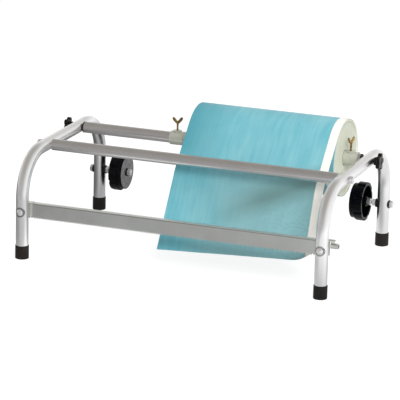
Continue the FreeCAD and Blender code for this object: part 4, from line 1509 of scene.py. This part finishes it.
@dataclass
class Studio:
    """The floor, the white surroundings, the lamps and the camera.

    The spans are places in metres between which the floor's glow changes, as the metal mirrors it.
    """

    floor_half: float = 6.0
    floor_bounce: float = 0.5
    seen_glow: float = 0.86
    seen_grey: float = 0.26
    dim_level: float = 0.42
    level: float = 0.62
    far_front: Span = (-0.95, -0.6)
    under_rear: Span = (-0.16, -0.08)
    left_x: Span = (-0.42, -0.3)
    left_y: Span = (-0.5, -0.38)
    left_loss: float = 0.3
    patch_left: Span = (-0.29, -0.25)
    patch_right: Span = (-0.04, 0.0)
    patch_front: Span = (-0.29, -0.24)
    patch_rear: Span = (-0.16, -0.12)
    patch_glow: float = 0.6
    right_x: Span = (0.32, 0.7)
    right_glow: float = 0.75
    behind_x: Span = (0.0, 0.1)
    behind_y: Span = (0.0, 0.1)
    near_x: Span = (-0.02, 0.2)
    near_y: Span = (-0.44, -0.36)
    side_glow: float = 0.5
    plain_sky: Triple = (0.44, 0.44, 0.44)
    front_sky: Triple = (0.54, 0.52, 0.53)
    rear_sky: Triple = (1.05, 1.05, 1.05)
    high_sky: Triple = (0.44, 0.42, 0.39)
    white: Triple = (1.0, 1.0, 1.0)
    sky_heights: Span = (0.12, 0.75)
    sky_depths: Span = (-0.5, 0.6)
    sky_right: Span = (0.2, 0.9)
    lamp_target: Triple = (0.0, 0.0, 0.12)
    camera_place: Triple = (1.82304, -4.92886, 1.57402)
    yaw: float = 0.356983
    pitch: float = 0.273513
    roll: float = 0.0243193
    focal: float = 2829.93
    picture: float = 400.0
    sensor: float = 36.0
    clip_end: float = 50.0

    def build(self) -> None:
        """Set up everything that isn't part of the object."""
        self.floor()
        self.world()
        self.lamp("key", (1.6, -2.1, 1.9), power=74.0, size=1.4)
        self.lamp("top", (0.9, -0.4, 2.6), power=20.0, size=1.2)
        self.lamp("rim", (0.3, 1.9, 2.0), power=8.0, size=1.4)
        self.camera()
        bpy.context.scene.view_settings.view_transform = "Standard"

    def floor(self) -> None:
        """Lay a pale floor that looks white, keeps a soft shadow and shows in the metal.

        The camera sees a glow plus a grey that the lamps light, so that a shadow takes only the grey away.
        A mirrored ray sees the glow of mirrored_floor, and any other ray a plain grey.
        """
        half = self.floor_half
        corners = [(-half, -half, 0.0), (half, -half, 0.0), (half, half, 0.0), (-half, half, 0.0)]
        mesh = bpy.data.meshes.new("floor")
        mesh.from_pydata(corners, [], [(0, 1, 2, 3)])
        floor = bpy.data.objects.new("floor", mesh)
        bpy.context.scene.collection.objects.link(floor)
        graph = Graph("floor")
        output = next(node for node in graph.tree.nodes if node.type == "OUTPUT_MATERIAL")
        graph.tree.nodes.remove(graph.shader)
        path = graph.add("ShaderNodeLightPath").outputs
        seen = {0: graph.glow(self.seen_glow), 1: graph.grey(self.seen_grey)}
        seen = graph.add("ShaderNodeAddShader", seen).outputs[0]
        mirrored = graph.glow(self.mirrored_floor(graph))
        unseen = {0: path["Is Glossy Ray"], 1: graph.grey(self.floor_bounce), 2: mirrored}
        unseen = graph.add("ShaderNodeMixShader", unseen).outputs[0]
        whole = graph.add("ShaderNodeMixShader", {0: path["Is Camera Ray"], 1: unseen, 2: seen}).outputs[0]
        graph.tree.links.new(whole, output.inputs["Surface"])
        mesh.materials.append(graph.material)

    def mirrored_floor(self, graph: Graph) -> Socket:
        """How strongly the floor glows where the metal mirrors it.

        Args:
            graph: the floor's shader graph.

        Returns:
            The strength: a level that is dimmer far in front, from under the rear on and at the left, plus a
            brighter patch under the left of the object, plus the strongest of three glows at the right.
        """
        x, y, _ = graph.parts()
        front = graph.spread(y, self.dim_level, self.level, *self.far_front)
        level = graph.sums("MINIMUM", front, graph.spread(y, self.level, self.dim_level, *self.under_rear))
        left = graph.product(graph.fall(x, *self.left_x), graph.rise(y, *self.left_y), self.left_loss)
        patch_x = graph.product(graph.rise(x, *self.patch_left), graph.fall(x, *self.patch_right))
        patch_y = graph.product(graph.rise(y, *self.patch_front), graph.fall(y, *self.patch_rear))
        patch = graph.product(patch_x, patch_y, self.patch_glow)
        right = graph.spread(x, 0.0, self.right_glow, *self.right_x)
        behind = graph.spread(x, 0.0, self.side_glow, *self.behind_x)
        behind = graph.product(behind, graph.rise(y, *self.behind_y))
        near = graph.spread(x, 0.0, self.side_glow, *self.near_x)
        near = graph.product(near, graph.fall(y, *self.near_y))
        side = graph.sums("MAXIMUM", right, behind, near)
        return graph.sums("ADD", graph.sums("SUBTRACT", level, left), patch, side)

    def world(self) -> None:
        """Surround the object with white for the camera and with soft grey to white for its light.

        In mirrored rays the sky is darker at the front and overhead than low behind, and white at the right.
        """
        world = bpy.data.worlds.new("studio")
        bpy.context.scene.world = world
        world.use_nodes = True
        world.node_tree.nodes.clear()
        sky = Nodes(world.node_tree, "Generated")
        path = sky.add("ShaderNodeLightPath").outputs
        x, y, z = sky.parts()
        level = sky.mixed(sky.rise(y, *self.sky_depths), self.front_sky, self.rear_sky)
        tone = sky.mixed(sky.rise(z, *self.sky_heights), level, self.high_sky)
        mirrored = sky.mixed(sky.rise(x, *self.sky_right), tone, self.white)
        colour = sky.mixed(path["Is Glossy Ray"], self.plain_sky, mirrored)
        colour = sky.mixed(path["Is Camera Ray"], colour, self.white)
        shade = sky.add("ShaderNodeBackground", {"Color": colour, "Strength": 1.0})
        output = sky.add("ShaderNodeOutputWorld")
        sky.tree.links.new(shade.outputs[0], output.inputs["Surface"])

    def lamp(self, name: str, place: Triple, power: float, size: float) -> None:
        """Hang one square lamp that faces the object's middle and doesn't show in the metal.

        Args:
            name: the lamp's name.
            place: where it hangs, in metres.
            power: its power in watts.
            size: the length of its side.
        """
        light = bpy.data.lights.new(name, "AREA")
        light.energy, light.size = power, size
        lamp = bpy.data.objects.new(name, light)
        lamp.location = place
        lamp.visible_glossy = False
        lamp.rotation_euler = (Vector(place) - Vector(self.lamp_target)).to_track_quat("Z", "Y").to_euler()
        bpy.context.scene.collection.objects.link(lamp)

    def camera(self) -> None:
        """Place the camera: it looks along its yaw and pitch and is rolled about that line."""
        data = bpy.data.cameras.new("camera")
        data.sensor_width = self.sensor
        data.lens = self.focal / self.picture * self.sensor
        data.clip_end = self.clip_end
        camera = bpy.data.objects.new("camera", data)
        bpy.context.scene.collection.objects.link(camera)
        level, steep = math.cos(self.pitch), math.sin(self.pitch)
        ahead = Vector((-math.sin(self.yaw) * level, math.cos(self.yaw) * level, -steep))
        flat_right = Vector((math.cos(self.yaw), math.sin(self.yaw), 0.0))
        flat_up = flat_right.cross(ahead)
        right = flat_right * math.cos(self.roll) + flat_up * math.sin(self.roll)
        up = flat_up * math.cos(self.roll) - flat_right * math.sin(self.roll)
        turn = Matrix((right, up, -ahead)).transposed().to_4x4()
        camera.matrix_world = Matrix.Translation(Vector(self.camera_place)) @ turn
        bpy.context.scene.camera = camera


def main() -> None:
    """Build every sub-assembly and the studio."""
    logging.basicConfig(level=logging.INFO, format="%(name)s: %(message)s")
    for part in (Stand, Cutter, TapeHubs, StarKnobs, PaperRoll, RollHolders, HangingSheet, Studio):
        part().build()


if __name__ == "__main__":
    main()
